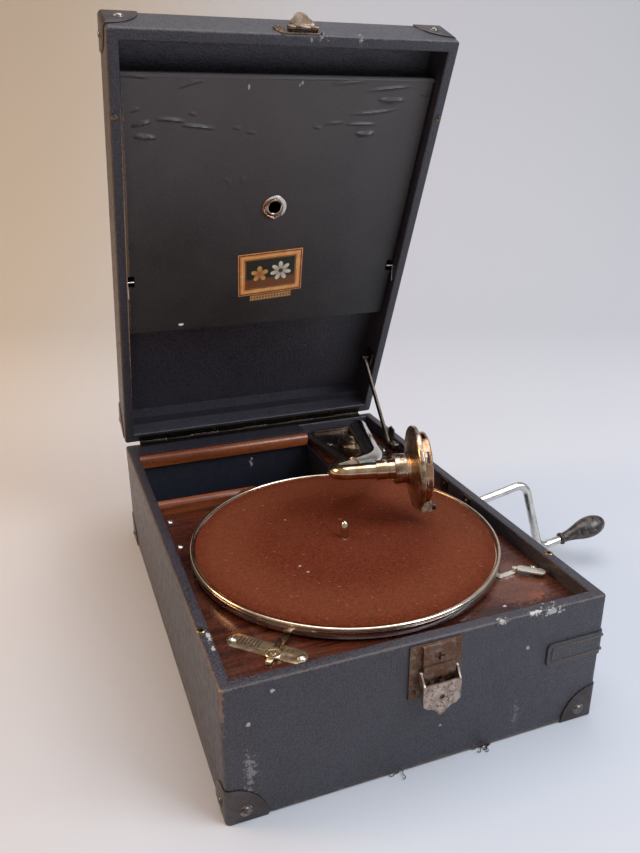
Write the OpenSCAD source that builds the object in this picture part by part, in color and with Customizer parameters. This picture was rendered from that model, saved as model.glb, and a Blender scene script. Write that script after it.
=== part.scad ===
// Portable wind-up gramophone, open for playing.
// Millimetres. Origin at the centre of the case bottom, +X to the crank side, +Y to the lid hinge, +Z up.

/* [Case] */
// Width of the case across its front
case_w = 286; // [284:1:290]
// Depth of the case from latch to hinge
case_d = 414; // [412:1:418]
// Height of the open base
base_h = 106.5; // [106:0.5:108]
// Thickness of the wooden walls
wall_t = 9; // [8.5:0.5:9.5]
// Thickness of the bottom board
floor_t = 6; // [4:0.5:7]
// Radius of the upright edges
edge_r = 3; // [1:0.5:5]
// Height of the motor board's top face
board_top = 94; // [93.5:0.5:94.5]
// Thickness of the motor board
board_t = 8; // [7:0.5:9]
// Reach of the corner protectors along each edge
corner_reach = 28; // [20:1:30]

/* [Lid] */
// Height of the closed lid
lid_h = 36; // [35:0.5:38]
// Gap that the hinge leaves between the closed halves
lid_gap = 2; // [1.8:0.1:2.4]
// Angle of the lid as photographed, from closed
lid_open = 66.4; // [60:0.1:75]
// Depth of the recess in the lid
lid_recess = 30; // [28:0.5:31]
// Depth of the record tray's face behind the lid rim
tray_depth = 10; // [9:0.5:12]
// Thickness of the record tray
tray_t = 3; // [2:0.5:4]

/* [Turntable] */
// Radius of the turntable
table_r = 127; // [125:0.5:128]
// Height of the turntable's rolled rim
table_top = 105.5; // [105:0.1:106]
// Distance of the spindle in front of the case centre
spindle_back = 58; // [56:0.5:60]
// Radius of the record spindle
spindle_r = 3.6; // [3.5:0.01:3.6]
// Height of the spindle's tip
spindle_tip = 120; // [118:0.5:122]

/* [Tone arm] */
// Tone arm pivot, to the right of the case centre
arm_x = 100.5; // [99:0.5:102]
// Tone arm pivot, behind the case centre
arm_y = 150; // [148:0.5:151]
// Turn of the arm inward from straight ahead
arm_turn = 12; // [8:0.5:16]
// Radius of the soundbox rim
soundbox_r = 35.4; // [33:0.1:36]
// Length of the swan neck's straight leg up to the soundbox
neck_leg = 53.2; // [50:0.1:56]

/* [Crank] */
// Upward tilt of the crank shaft
crank_tilt = 11.6; // [10:0.1:12]
// Distance between the crank's two parallel shafts
crank_throw = 72; // [60:1:75]
// Radius of the crank rod
crank_r = 4; // [3.5:0.1:4]

/* [Hidden] */
$fn = 64;

half_w = case_w / 2;
half_d = case_d / 2;
in_x = half_w - wall_t;
in_y = half_d - wall_t;
touch = 0.02;
play = 0.06;
plate_t = 1.2;
sheet_t = 0.8;

// Colours as they look on the object
cloth_black = "#26272b";
mahogany = "#6b2a17";
dark_wood = "#2c1c18";
navy = "#1b2030";
nickel = "#c9c2b4";
steel = "#8f8d88";
rust = "#8a6a58";
copper = "#9a6a50";
felt_brown = "#6d2c17";
brass = "#b08d4a";

// Hinge line of the lid
hinge_y = half_d + 0.6;
hinge_z = base_h + lid_gap / 2;
hinge_half = 128;
knuckle_r = 1.3;
hinge_pin_r = 0.6;
knuckles = 9;
knuckle_l = 2 * hinge_half / knuckles;
leaf_t = 0.7;
leaf_y0 = in_y + 0.5;
leaf_y1 = hinge_y - knuckle_r - 0.25;

// Closed lid
lid_z0 = base_h + lid_gap;
lid_z1 = lid_z0 + lid_h;
ceiling_z = lid_z0 + lid_recess;
lid_in_front = -in_y;
lid_in_back = in_y - 2;

// Dowels in the lid's rim and their sockets in the base's rim
dowel_x = 139.4;
dowel_y = -143;

// Rear shelf and the horn's mouth
shelf_y = 178;
mouth_y0 = 66;
mouth_y1 = 168;
mouth_x1 = 50;
board_front_y = 56;
moulding_r = 4.9;

// Spindle, motor and gear train
table_y = -spindle_back;
felt_t = 1.4;
felt_top = table_top - 0.6;
felt_r = table_r - 4.5;
skirt_z = 96.4;
disc_t = 1.6;
plate_lo = 14;
plate_hi = 77;
motor_t = 3;
shaft_r = 4;
small_shaft_r = 2.5;
thin_shaft_r = 1.8;
pillar_r = 4;
motor_x0 = -42;
motor_x1 = 66;
motor_y0 = -96;
motor_y1 = 36;
motor_edge = 6;

pressure = 25;
addendum = 0.85;
dedendum = 1.15;
backlash = 0.14;
barrel_teeth = 60;
mid_pinion_teeth = 12;
train_module = 1.2;
mid_teeth = 56;
spindle_pinion_teeth = 14;
mid_module = 0.8;
governor_drive_teeth = 72;
governor_pinion_teeth = 12;
governor_module = 0.6;

crank_y = -6;
crank_z = 80;
barrel_x = 30;
barrel_z0 = 19;
barrel_z1 = 42;
drum_r = 33;
great_wheel_t = 3.5;
mid_wheel_z = 57;
drive_wheel_z = 64;
wheel_t = 2.5;

train_ab = train_module * (barrel_teeth + mid_pinion_teeth) / 2;
mid_ab = mid_module * (mid_teeth + spindle_pinion_teeth) / 2;
governor_ab = governor_module * (governor_drive_teeth + governor_pinion_teeth) / 2;
barrel_pos = [barrel_x, crank_y];
spindle_pos = [0, table_y];
mid_pos = third_point(barrel_pos, spindle_pos, train_ab, mid_ab);
governor_bearing = 205;
governor_pos = spindle_pos + governor_ab * [cos(governor_bearing), sin(governor_bearing)];
to_mid = bearing_of(barrel_pos, mid_pos);
mid_to_spindle = bearing_of(mid_pos, spindle_pos);

// Winding bevels: the pinion on the crank and the wheel on the arbor
bevel_module = 1.4;
bevel_pinion_teeth = 14;
bevel_wheel_teeth = 28;
bevel_angle = 90 + crank_tilt;
bevel_ratio = bevel_pinion_teeth / bevel_wheel_teeth;
wheel_cone = atan2(sin(bevel_angle), bevel_ratio + cos(bevel_angle));
pinion_cone = bevel_angle - wheel_cone;
bevel_face = 6;
bevel_addendum = 0.75;
bevel_dedendum = 1.1;
bevel_backlash = 0.34;
apex_z = crank_z - tan(crank_tilt) * (half_w - barrel_x);
apex_back = (half_w - barrel_x) / cos(crank_tilt);

// Crank, along its own tilted axis from the wall's outer face
crank_shaft_l = 73;
crank_bend = 11;
crank_lean = -10;
grip_start = crank_shaft_l + 26;
grip_l = 54;
grip_r = 10.8;
grip_pin_r = 2.5;
bush_r = 5;

// Stay: lid pivot, stud and their motion as the lid closes
stay_u = 74.7;
stay_depth = 10.9;
stay_pivot_closed = [half_d - stay_u, lid_z0 + stay_depth];
stud_rest = [119.6, 102.9];
stay_knob = [99, 108.2];
stay_pivot_rest = turn_lid(stay_pivot_closed, -lid_open);
stay_l = norm(stud_rest - stay_pivot_rest);
stay_bearing = bearing_of(stay_pivot_rest, stud_rest);
stay_ratio = -1.49;
lid_travel = 47;
stud_r = 2;
stay_x = 124.6;
stay_t = 2.2;
stay_w = 5.6;
rail_x = 131.8;
rail_t = 2;

// Latch on the front, hasp on the lid
latch_plate_x = 3.5;
latch_x = 4.9;
latch_pin_z = 83;
latch_pin_y = -half_d - 3.3;
latch_pin_r = 1.1;
latch_box_y = -half_d - 3.6;
latch_bar_y = -half_d - 5.2;
latch_face_y = -half_d - 10;
hasp_x = 5.8;
hasp_pin_y = -half_d - 3.4;
hasp_pin_z = lid_z0 + 5.1;
hasp_rest = -138;
hasp_pin_r = 1;

// Record tray, in the closed lid
tray_half = 132.5;
tray_front = -173;
tray_back = 70;
tray_z = lid_z0 + tray_depth;
tray_pivot_y = tray_front + 2.5;
tray_pivot_z = tray_z + tray_t / 2;
clip_pivot = [26, lid_z0 + 5];
clip_tip = [12, lid_z0 + 10];

// Tone arm, in its own frame: the pivot is the origin and the arm points to -Y
elbow = [0.8, -2, 115.5];
bend_at = [-10.5, -141, 136];
arm_r0 = 9.2;
arm_r1 = 8.6;
journal_r = 14.95;
branch_r = 7.5;
bore_r = 6.2;
joint_at = -31;
// Swan neck: the frame of its swivel axis, its straight, its bend and its leg
neck_at = [-14.2, -141.4, 135.6];
neck_turns = [-12, 10.9, 45];
neck_straight = -56.4;
neck_bend = 11;
neck_angle = 130;
neck_r = 6.5;
leg_r = 7;
neck_bore = 5;
// Soundbox, along its own axis from the rim's back face
rim_face = 4.6;
ring_r = 29.9;
ring_face = 12.1;
foil_t = 0.4;
clamp_x = 9.4;
clamp_top = 30.6;
clamp_h = 7.6;
needle_r = 0.8;
needle_screw_r = 1.2;

// Carrying handle on the right side
handle_y = 58;
handle_z = 66;
handle_x = half_w + 8.2;
handle_pin_r = 2;
handle_drop = 27;
band_z0 = 56.5;
band_z1 = 76;
band_x0 = 95;
band_t = 1.2;

// Speed regulator and brake on the motor board
scale_at = [-99.7, -161.7];
scale_turn = -43.8;
scale_l = 60;
scale_w = 15;
regulator_at = [-97.4, -170.2];
regulator_turn = 49.9;
brake_at = [86, -124];
brake_post = [-92, -40];
finger_turn = 60;
finger_l = 9;
brake_pin = regulator_at - brake_post + 8 * [cos(finger_turn), sin(finger_turn)]
    + 3.85 * [sin(finger_turn), -cos(finger_turn)];
disc_r = 16;

// Screws with a round head: place of each on the board or a plate
screw_r = 1.5;
screw_head_r = 3.2;
board_screw_xy = [[-127, 42], [-127, -5], [127, -190], [-127, -190], [60, 62], [125, 62], [128.8, -139.3]];

function bearing_of(a, b) = atan2(b[1] - a[1], b[0] - a[0]);
function third_point(a, b, ra, rb) =
    let (d = norm(b - a), along = (ra * ra - rb * rb + d * d) / (2 * d), off = sqrt(ra * ra - along * along))
    a + along * (b - a) / d + off * [(b - a)[1], -(b - a)[0]] / d;
// Turn a point of the lid, given as [y, z], about the hinge line
function turn_lid(p, a) =
    let (y = p[0] - hinge_y, z = p[1] - hinge_z)
    [hinge_y + y * cos(a) - z * sin(a), hinge_z + y * sin(a) + z * cos(a)];
// Where the stay's stud is when the lid has closed by c degrees
function stud_path(c) =
    turn_lid(stay_pivot_rest, c)
    + stay_l * [cos(stay_bearing + c * (1 + stay_ratio)), sin(stay_bearing + c * (1 + stay_ratio))];
// Involute angle at radius r of base circle b
function involute(b, r) = sqrt(r * r / (b * b) - 1) * 180 / PI - atan(sqrt(r * r / (b * b) - 1));
function flank(z, m, r) =
    let (p = m * z / 2, b = p * cos(pressure))
    90 / z - backlash * m / p * 90 / PI + involute(b, p) - involute(b, max(r, b));
function tooth(z, m, at) =
    let (p = m * z / 2, tip = p + addendum * m, root = p - dedendum * m, b = p * cos(pressure))
    let (steps = [root, max(root, b), p, (p + tip) / 2, tip])
    concat(
        [for (r = steps) r * [cos(at - flank(z, m, r)), sin(at - flank(z, m, r))]],
        [for (i = [4:-1:0]) steps[i] * [cos(at + flank(z, m, steps[i])), sin(at + flank(z, m, steps[i]))]]
    );
function gear_points(z, m) = [for (k = [0:z - 1], p = tooth(z, m, 360 * k / z)) p];
// Turn that puts a gear of z2 teeth in mesh with one of z1 teeth turned by a1, along the bearing b
function mesh_turn(z1, z2, a1, b) = b + 180 - (a1 - b) * z1 / z2 - 180 / z2;
function smooth(t) = t * t * (3 - 2 * t);

module lid_frame() {
    translate([0, hinge_y, hinge_z]) rotate([-lid_open, 0, 0]) translate([0, -hinge_y, -hinge_z]) children();
}

module arm_frame() {
    translate([arm_x, arm_y, 0]) rotate([0, 0, -arm_turn]) children();
}

module neck_frame() {
    arm_frame() translate(neck_at) rotate(neck_turns) children();
}

// The straight leg of the swan neck, from the end of its bend
module leg_frame() {
    neck_frame() translate([neck_straight - neck_bend * sin(neck_angle), neck_bend * (cos(neck_angle) - 1), 0])
        rotate(neck_angle - 180) children();
}

module soundbox_frame() {
    leg_frame() translate([neck_leg, 0, 0]) children();
}

module crank_frame() {
    translate([half_w, crank_y, crank_z]) rotate([0, -crank_tilt, 0]) children();
}

module crank_arm_frame() {
    crank_frame() translate([crank_shaft_l, 0, 0]) rotate([crank_lean, 0, 0]) children();
}

module block(low, high) {
    translate(low) cube(high - low);
}

module rod_x(r, x0, x1) {
    translate([x0, 0, 0]) rotate([0, 90, 0]) cylinder(r = r, h = x1 - x0);
}

module rod_y(r, y0, y1) {
    translate([0, y0, 0]) rotate([-90, 0, 0]) cylinder(r = r, h = y1 - y0);
}

// Extrude an outline drawn in Y and Z along X
module across(x0, x1) {
    translate([x0, 0, 0]) rotate([90, 0, 90]) linear_extrude(x1 - x0) children();
}

// Extrude an outline drawn in X and Z along Y
module along_y(y0, y1) {
    translate([0, y1, 0]) rotate([90, 0, 0]) linear_extrude(y1 - y0) children();
}

module cone_between(p, q, r0, r1) {
    d = q - p;
    translate(p) rotate([0, acos(d[2] / norm(d)), atan2(d[1], d[0])]) cylinder(r1 = r0, r2 = r1, h = norm(d));
}

module rounded_rect(w, d, r) {
    square([w - 2 * r, d], center = true);
    square([w, d - 2 * r], center = true);
    for (x = [-1, 1], y = [-1, 1]) translate([x * (w / 2 - r), y * (d / 2 - r)]) circle(r);
}

module rounded_box(w, d, h, r) {
    linear_extrude(h) rounded_rect(w, d, r);
}

// A flat bar with round ends, a hair wider than its sides, from p to q
module bar_2d(p, q, w) {
    side = w - 0.08;
    translate(p) rotate(bearing_of(p, q)) translate([0, -side / 2]) square([norm(q - p), side]);
    translate(p) circle(w / 2);
    translate(q) circle(w / 2);
}

module quarter_bend(radius, r) {
    rotate_extrude(angle = 90) translate([radius, 0]) circle(r);
}

module round_head(r, h) {
    rotate_extrude() intersection() {
        translate([0, h - (r * r + h * h) / (2 * h)]) circle((r * r + h * h) / (2 * h));
        square([r, h]);
    }
}

module spur_gear(z, m, t, turn) {
    rotate(turn) linear_extrude(t) polygon(gear_points(z, m));
}

// One bevel tooth as a wedge that shrinks towards the cone's apex
module bevel_tooth(z, m, cone, at) {
    p = m * z / 2;
    reach = p / sin(cone);
    k = (reach - bevel_face) / reach;
    half_t = PI * m / 4 - bevel_backlash * m / 2;
    outline = [for (h = [-bevel_dedendum * m - 0.3, bevel_addendum * m], s = [-1, 1])
        [p + h * cos(cone), s * (half_t - h * tan(pressure)), p / tan(cone) - h * sin(cone)]];
    rotate(at) polyhedron(
        points = concat(outline, k * outline),
        faces = [[0, 1, 3, 2], [4, 6, 7, 5], [0, 4, 5, 1], [2, 3, 7, 6], [0, 2, 6, 4], [1, 5, 7, 3]]
    );
}

// Bevel gear about +Z with its cone's apex at the origin
module bevel_gear(z, m, cone, hub_r, hub_h, turn) {
    p = m * z / 2;
    k = (p / sin(cone) - bevel_face) / (p / sin(cone));
    low = -bevel_dedendum * m;
    big = [p + low * cos(cone), p / tan(cone) - low * sin(cone)];
    for (i = [0:z - 1]) bevel_tooth(z, m, cone, turn + 360 * i / z);
    rotate_extrude()
        polygon([[0, k * big[1]], k * big, big, [hub_r, big[1] + 0.6], [hub_r, hub_h], [0, hub_h]]);
}

module screw(l = 6) {
    round_head(screw_head_r, 1.6);
    translate([0, 0, -l]) cylinder(r = screw_r - touch, h = l);
}

module case_shell() {
    color(cloth_black) difference() {
        union() {
            difference() {
                rounded_box(case_w, case_d, base_h, edge_r);
                block([-in_x, -in_y, floor_t], [in_x, in_y, base_h + 1]);
            }
            block([-in_x - 1, shelf_y, 60], [mouth_x1, in_y + 1, base_h]);
            block([-in_x - 1, -in_y - 1, 76], [in_x + 1, -in_y + 8, board_top - board_t]);
            for (s = [-1, 1]) block([s * in_x - 8, -in_y, 76], [s * in_x + 8 - s, 56, board_top - board_t]);
        }
        block([-half_w - 20, -half_d, 70], [-half_w, half_d, 90]);
        block([-hinge_half - 1, half_d - 1.1, base_h - 0.6], [hinge_half + 1, half_d + 1, base_h + 1]);
        crank_frame() rod_x(bush_r + touch, -24, 8);
        block([half_w, -half_d, 70], [half_w + 20, half_d, 90]);
        for (s = [-1, 1]) translate([s * dowel_x, dowel_y, base_h - 8]) cylinder(r = 2.5, h = 9);
    }
}

module motor_board() {
    color(mahogany) difference() {
        union() {
            block([-in_x + 0.3, -in_y + 0.3, board_top - board_t], [in_x - 0.3, board_front_y, board_top]);
            block([mouth_x1 + 2, board_front_y - 1, board_top - board_t], [in_x - 0.3, in_y - 0.3, board_top]);
        }
        translate([0, table_y, 80]) cylinder(r = 9, h = 20);
        translate([arm_x, arm_y, 80]) cylinder(r = 17, h = 20);
        translate([regulator_at[0], regulator_at[1], 80]) cylinder(r = 2 + play, h = 20);
        translate([brake_at[0], brake_at[1], 80]) cylinder(r = 2 + play, h = 20);
        for (p = board_screw_xy) translate([p[0], p[1], 80]) cylinder(r = screw_r, h = 20);
    }
}

// Half-round strips round the horn's mouth
module mouth_mouldings() {
    z0 = board_top;
    z1 = base_h - moulding_r - 0.6;
    color("#8c4326") {
        difference() {
            union() {
                block([-in_x + 0.3, board_front_y + 0.2, z0], [-38, mouth_y0, z1]);
                translate([0, board_front_y + 0.1 + moulding_r, z1]) rod_x(moulding_r, -in_x + 0.3, -38);
            }
            translate([0, table_y, z0 - 1]) cylinder(r = table_r + 2.5, h = 20);
        }
        block([-in_x + 0.3, mouth_y1, z0], [mouth_x1, shelf_y, z1]);
        translate([0, (mouth_y1 + shelf_y) / 2, z1]) rod_x(moulding_r, -in_x + 0.3, mouth_x1);
    }
    color(dark_wood) translate([0, 0, z0]) linear_extrude(7)
        polygon([[mouth_x1 + 0.5, shelf_y], [mouth_x1 + 7, shelf_y], [mouth_x1 + 19, 104], [mouth_x1 + 12, 104]]);
}

module horn_duct() {
    wall = 3;
    x0 = -in_x + 0.5;
    x1 = mouth_x1 + 1.5;
    y0 = board_front_y + 1;
    y1 = shelf_y - 0.5;
    color(navy) difference() {
        block([x0, y0, floor_t + 0.2], [x1, y1, board_top - 0.2]);
        block([x0 + wall, y0 + wall, floor_t + wall], [x1 - wall, y1 - wall, board_top + 1]);
        translate([0, arm_y, 50]) rod_x(16.5, x1 - wall - 1, x1 + 1);
    }
}

module tube_2d(r, wall) {
    difference() {
        circle(r);
        circle(r - wall);
    }
}

// Sound passage from the arm down and round into the duct's side
module horn_throat() {
    r = 16.5;
    bend = 30;
    wall = 1.5;
    z = 80;
    color(steel) translate([arm_x, arm_y, 0]) {
        translate([0, 0, z]) linear_extrude(board_top - 0.3 - z) tube_2d(r, wall);
        translate([-bend, 0, z]) rotate([-90, 0, 0]) rotate_extrude(angle = 90) translate([bend, 0])
            tube_2d(r, wall);
        translate([-bend, 0, z - bend]) rotate([0, -90, 0]) rotate_extrude() polygon([
            [r - wall, 0], [r, 0], [r + 1.5, arm_x - bend - mouth_x1 - 1.7],
            [r + 1.5 - wall, arm_x - bend - mouth_x1 - 1.7]
        ]);
    }
}

module arm_plate() {
    z = board_top;
    color("#8d7a6c") difference() {
        union() {
            translate([0, 0, z]) linear_extrude(plate_t)
                polygon([[64, 192], [66, 196], [112, 196], [124, 184], [124, 112], [116, 104], [78, 104], [72, 112]]);
            block([66, 191, z + plate_t - 0.1], [112, 195, z + 4]);
        }
        translate([arm_x, arm_y, z - 1]) cylinder(r = 13, h = 9);
        for (p = [[71.5, 157], [120, 120], [104, 185]]) translate([p[0], p[1], z - 1]) cylinder(r = screw_r, h = 9);
    }
}

module arm_bearing() {
    color(nickel) translate([arm_x, arm_y, board_top + plate_t]) rotate_extrude() polygon([
        [journal_r + 0.05, 0], [20.5, 0], [20.5, 1.6], [18.2, 4.6], [17, 5.4], [journal_r + 0.05, 5.4]
    ]);
}

module carry_band() {
    color(cloth_black) difference() {
        intersection() {
            difference() {
                rounded_box(case_w + 2 * band_t, case_d + 2 * band_t, base_h, edge_r + band_t);
                translate([0, 0, -1])
                    rounded_box(case_w + 2 * touch, case_d + 2 * touch, base_h + 2, edge_r + touch);
            }
            along_y(-half_d - 5, half_d + 5) union() {
                translate([band_x0 + 4, band_z0]) square([60, band_z1 - band_z0]);
                translate([band_x0, band_z0 + 4]) square([60, band_z1 - band_z0 - 8]);
                for (z = [band_z0 + 4, band_z1 - 4]) translate([band_x0 + 4, z]) circle(4);
            }
        }
        crank_frame() rod_x(12.6, -3, 8);
    }
}

module handle_loops() {
    color(steel) for (s = [-1, 1]) translate([0, s * handle_y, 0]) difference() {
        union() {
            block([half_w + band_t + touch, -7, handle_z - 9], [half_w + band_t + 1.5, 7, handle_z + 9]);
            block([half_w + band_t + touch, -3, handle_z - 4], [handle_x, 3, handle_z + 4]);
            translate([handle_x, 0, handle_z]) rod_y(4, -3, 3);
        }
        translate([handle_x, 0, handle_z]) rod_y(handle_pin_r + play, -4, 4);
    }
}

// A leather grip whose end pins turn in the loops
module carry_handle() {
    r = 4.6;
    bend = 14;
    side = handle_y - 9;
    low = handle_z - handle_drop;
    color("#2a2523") translate([handle_x, 0, 0]) {
        for (s = [-1, 1]) {
            translate([0, s * side, handle_z]) rod_y(5, -4.8, 4.8);
            translate([0, s * side, handle_z]) rod_y(handle_pin_r, s > 0 ? 4.7 : -16, s > 0 ? 16 : -4.7);
            translate([0, s * side, low + bend]) cylinder(r = r, h = handle_drop - bend);
            translate([0, s * (side - bend), low + bend]) rotate([0, 90, 0]) rotate(s > 0 ? 0 : -90)
                quarter_bend(bend, r);
        }
        translate([0, 0, low]) rod_y(r, bend - side, side - bend);
    }
}

// The thin shell over a box's corners: low is the box's bottom, high its top
module corner_leaf(low, high, z_corner) {
    intersection() {
        difference() {
            translate([0, 0, low])
                rounded_box(case_w + 2 * sheet_t, case_d + 2 * sheet_t, high - low, edge_r + sheet_t);
            translate([0, 0, low - 1])
                rounded_box(case_w + 2 * touch, case_d + 2 * touch, lid_z1 - low + 1, edge_r + touch);
        }
        union() for (x = [-1, 1], y = [-1, 1])
            translate([x * half_w, y * half_d, z_corner]) sphere(corner_reach);
    }
}

module base_corners() {
    color("#3a3836") corner_leaf(0.3, 40, 0.3);
}

// Two domed studs beside each corner, on the front or back and on the side
module corner_studs(z) {
    set = 13;
    for (x = [-1, 1], y = [-1, 1]) {
        translate([x * (half_w - set), y * (half_d + sheet_t + touch), z]) rotate([-90 * y, 0, 0])
            round_head(3.6, 1.8);
        translate([x * (half_w + sheet_t + touch), y * (half_d - set), z]) rotate([0, 90 * x, 0])
            round_head(3.6, 1.8);
    }
}

module base_studs() {
    color(steel) corner_studs(9);
}

// One leaf of the strip hinge: every other knuckle, tabs and the flat strip
module hinge_leaf(first, z_flat) {
    difference() {
        union() {
            block([-hinge_half, leaf_y0, z_flat], [hinge_half, leaf_y1, z_flat + leaf_t]);
            for (i = [first:2:knuckles - 1]) {
                x0 = -hinge_half + i * knuckle_l + 0.2;
                x1 = x0 + knuckle_l - 0.4;
                block([x0, leaf_y1 - 0.5, z_flat], [x1, hinge_y, z_flat + leaf_t]);
                translate([0, hinge_y, hinge_z]) rod_x(knuckle_r, x0, x1);
            }
        }
        translate([0, hinge_y, hinge_z]) rod_x(hinge_pin_r + play, -hinge_half - 1, hinge_half + 1);
    }
}

module base_hinge_leaf() {
    color(steel) hinge_leaf(0, base_h);
}

module lid_hinge_leaf() {
    color(steel) lid_frame() hinge_leaf(1, lid_z0 - leaf_t);
}

module hinge_pins() {
    color(steel) {
        translate([0, hinge_y, hinge_z]) rod_x(hinge_pin_r, -hinge_half, hinge_half);
        translate([latch_x, latch_pin_y, latch_pin_z]) rod_x(latch_pin_r, -14.5, 14.5);
    }
}

module latch_plate() {
    y = -half_d;
    color(rust) difference() {
        union() {
            block([latch_plate_x - 19.5, y - plate_t, 62], [latch_plate_x + 19.5, y, 103.8]);
            block([latch_x - 12, latch_box_y, 88], [latch_x + 12, y - plate_t + 0.1, 103.2]);
            block([latch_x - 12, latch_bar_y, 73.5], [latch_x + 12, y - plate_t + 0.1, 88.1]);
        }
        block([latch_x - 3.6, y - 9, 93.4], [latch_x + 3.6, y - 2, 95]);
        block([latch_x - 1, y - 9, 91], [latch_x + 1, y - 2, 97.5]);
        translate([latch_x, latch_pin_y, latch_pin_z]) rod_x(latch_pin_r, -20, 20);
        translate([latch_x, 0, 77.5]) rod_y(1.9, y - 9, y - 2);
    }
}

module latch_lever() {
    y0 = latch_face_y;
    half = [[0, 51], [1.5, 51.8], [4, 54.5], [7, 57.3], [11, 58.2], [13.8, 61], [14.3, 64], [13.9, 77]];
    color("#a89a90") difference() {
        union() {
            along_y(y0, y0 + 1.5) polygon(concat(
                [for (p = half) [latch_x + p[0], p[1]]],
                [for (i = [len(half) - 1:-1:1]) [latch_x - half[i][0], half[i][1]]]
            ));
            for (s = [-1, 1]) across(latch_x + s * 13.6 - 0.7, latch_x + s * 13.6 + 0.7) union() {
                polygon([[y0 + 0.2, 76.8], [y0 + 0.2, 64], [y0 + 4, 66], [latch_pin_y + 1.8, latch_pin_z],
                    [latch_pin_y - 1.7, latch_pin_z + 0.6]]);
                translate([latch_pin_y, latch_pin_z]) circle(1.9);
            }
        }
        translate([latch_x, latch_pin_y, latch_pin_z]) rod_x(latch_pin_r + play, -20, 20);
        translate([latch_x, 0, 66]) rod_y(1.9, y0 - 1, y0 + 3);
    }
}

module rim_sockets() {
    color(brass) for (s = [-1, 1]) translate([s * dowel_x, dowel_y, base_h]) rotate_extrude()
        polygon([[1.7, -7.9], [2.45, -7.9], [2.45, touch], [3.3, touch], [2.9, 0.6], [1.7, 0.6]]);
}

// The stay's stud runs over this rail's top edge and stops at the post
module stay_rail() {
    steps = 12;
    under = stud_r + 0.3;
    post_y = stud_rest[0] + under;
    foot_z = board_top + 0.4;
    front = stud_path(lid_travel) - [8, under];
    color("#5d4a40") across(rail_x, rail_x + rail_t) union() {
        polygon(concat(
            [[front[0], foot_z], [post_y + 1, foot_z], [post_y + 1, stud_rest[1] - under]],
            [for (i = [0:steps]) stud_path(lid_travel * i / steps) - [0, under]],
            [front]
        ));
        polygon([[post_y, foot_z], [post_y + 12, foot_z], [post_y + 12, 114], [post_y + 8, 118], [post_y, 116]]);
    }
}

module crank_clips() {
    color("#6a4a3a") for (y = [11, -30]) {
        block([in_x - 1.4, y - 6, board_top + 2], [in_x, y + 6, base_h - 1]);
        translate([in_x - 1.4, y, 0]) rotate([0, -90, 0]) translate([board_top + 7, 0, 0]) round_head(2.6, 1.6);
    }
}

// Flanged bush that carries the crank shaft through the wall
module crank_bush() {
    color(nickel) crank_frame() difference() {
        union() {
            rod_x(bush_r, -11, 2.6);
            rod_x(12, 2.45, 3.6);
        }
        rod_x(crank_r + play, -13, 9);
    }
}

module speed_scale() {
    color("#b5a592") translate([scale_at[0], scale_at[1], board_top]) rotate(scale_turn) difference() {
        linear_extrude(0.6) polygon([
            [-scale_l / 2 + 5, -scale_w / 2], [scale_l / 2 - 5, -scale_w / 2], [scale_l / 2, -2], [scale_l / 2, 2],
            [scale_l / 2 - 5, scale_w / 2], [-scale_l / 2 + 5, scale_w / 2], [-scale_l / 2, 2], [-scale_l / 2, -2]
        ]);
        rotate(-scale_turn) translate(regulator_at - scale_at) translate([0, 0, -1]) cylinder(r = 2.2, h = 3);
        for (s = [-1, 1]) translate([s * (scale_l / 2 - 4), 0, -1]) cylinder(r = screw_r, h = 3);
    }
}

module board_screws() {
    color(steel) {
        for (p = board_screw_xy) translate([p[0], p[1], board_top + touch]) screw();
        for (p = [[71.5, 157], [120, 120], [104, 185]])
            translate([p[0], p[1], board_top + plate_t + touch]) screw(plate_t);
        translate([scale_at[0], scale_at[1], board_top + 0.6 + touch]) rotate(scale_turn)
            for (s = [-1, 1]) translate([s * (scale_l / 2 - 4), 0, 0]) screw(0.6);
    }
}

module motor_outline() {
    translate([(motor_x0 + motor_x1) / 2, (motor_y0 + motor_y1) / 2])
        rounded_rect(motor_x1 - motor_x0 + 2 * motor_edge, motor_y1 - motor_y0 + 2 * motor_edge, motor_edge);
}

// Plate of the motor frame with a bearing hole for each shaft
module motor_frame_plate(z) {
    difference() {
        translate([0, 0, z]) linear_extrude(motor_t) motor_outline();
        for (s = [[spindle_pos, shaft_r], [barrel_pos, shaft_r], [mid_pos, small_shaft_r],
                [governor_pos, thin_shaft_r]])
            translate([s[0][0], s[0][1], z - 1]) cylinder(r = s[1] + play, h = motor_t + 2);
    }
}

module motor_top_plate() {
    color(steel) difference() {
        motor_frame_plate(plate_hi);
        translate([brake_post[0], brake_post[1], plate_hi - 1]) cylinder(r = 2, h = 9);
    }
}

module motor_bottom_plate() {
    color(steel) motor_frame_plate(plate_lo);
}

// Pillars between the plates, spacers up to the board, and the governor brake's post
module motor_pillars() {
    color(nickel) {
        for (x = [motor_x0, motor_x1], y = [motor_y0, motor_y1]) translate([x, y, 0]) {
            translate([0, 0, plate_lo + motor_t]) cylinder(r = pillar_r, h = plate_hi - plate_lo - motor_t);
            translate([0, 0, plate_hi + motor_t])
                cylinder(r = pillar_r, h = board_top - board_t - plate_hi - motor_t);
        }
        translate([brake_post[0], brake_post[1], 52]) cylinder(r = 2, h = board_top - board_t - 52);
    }
}

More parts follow.
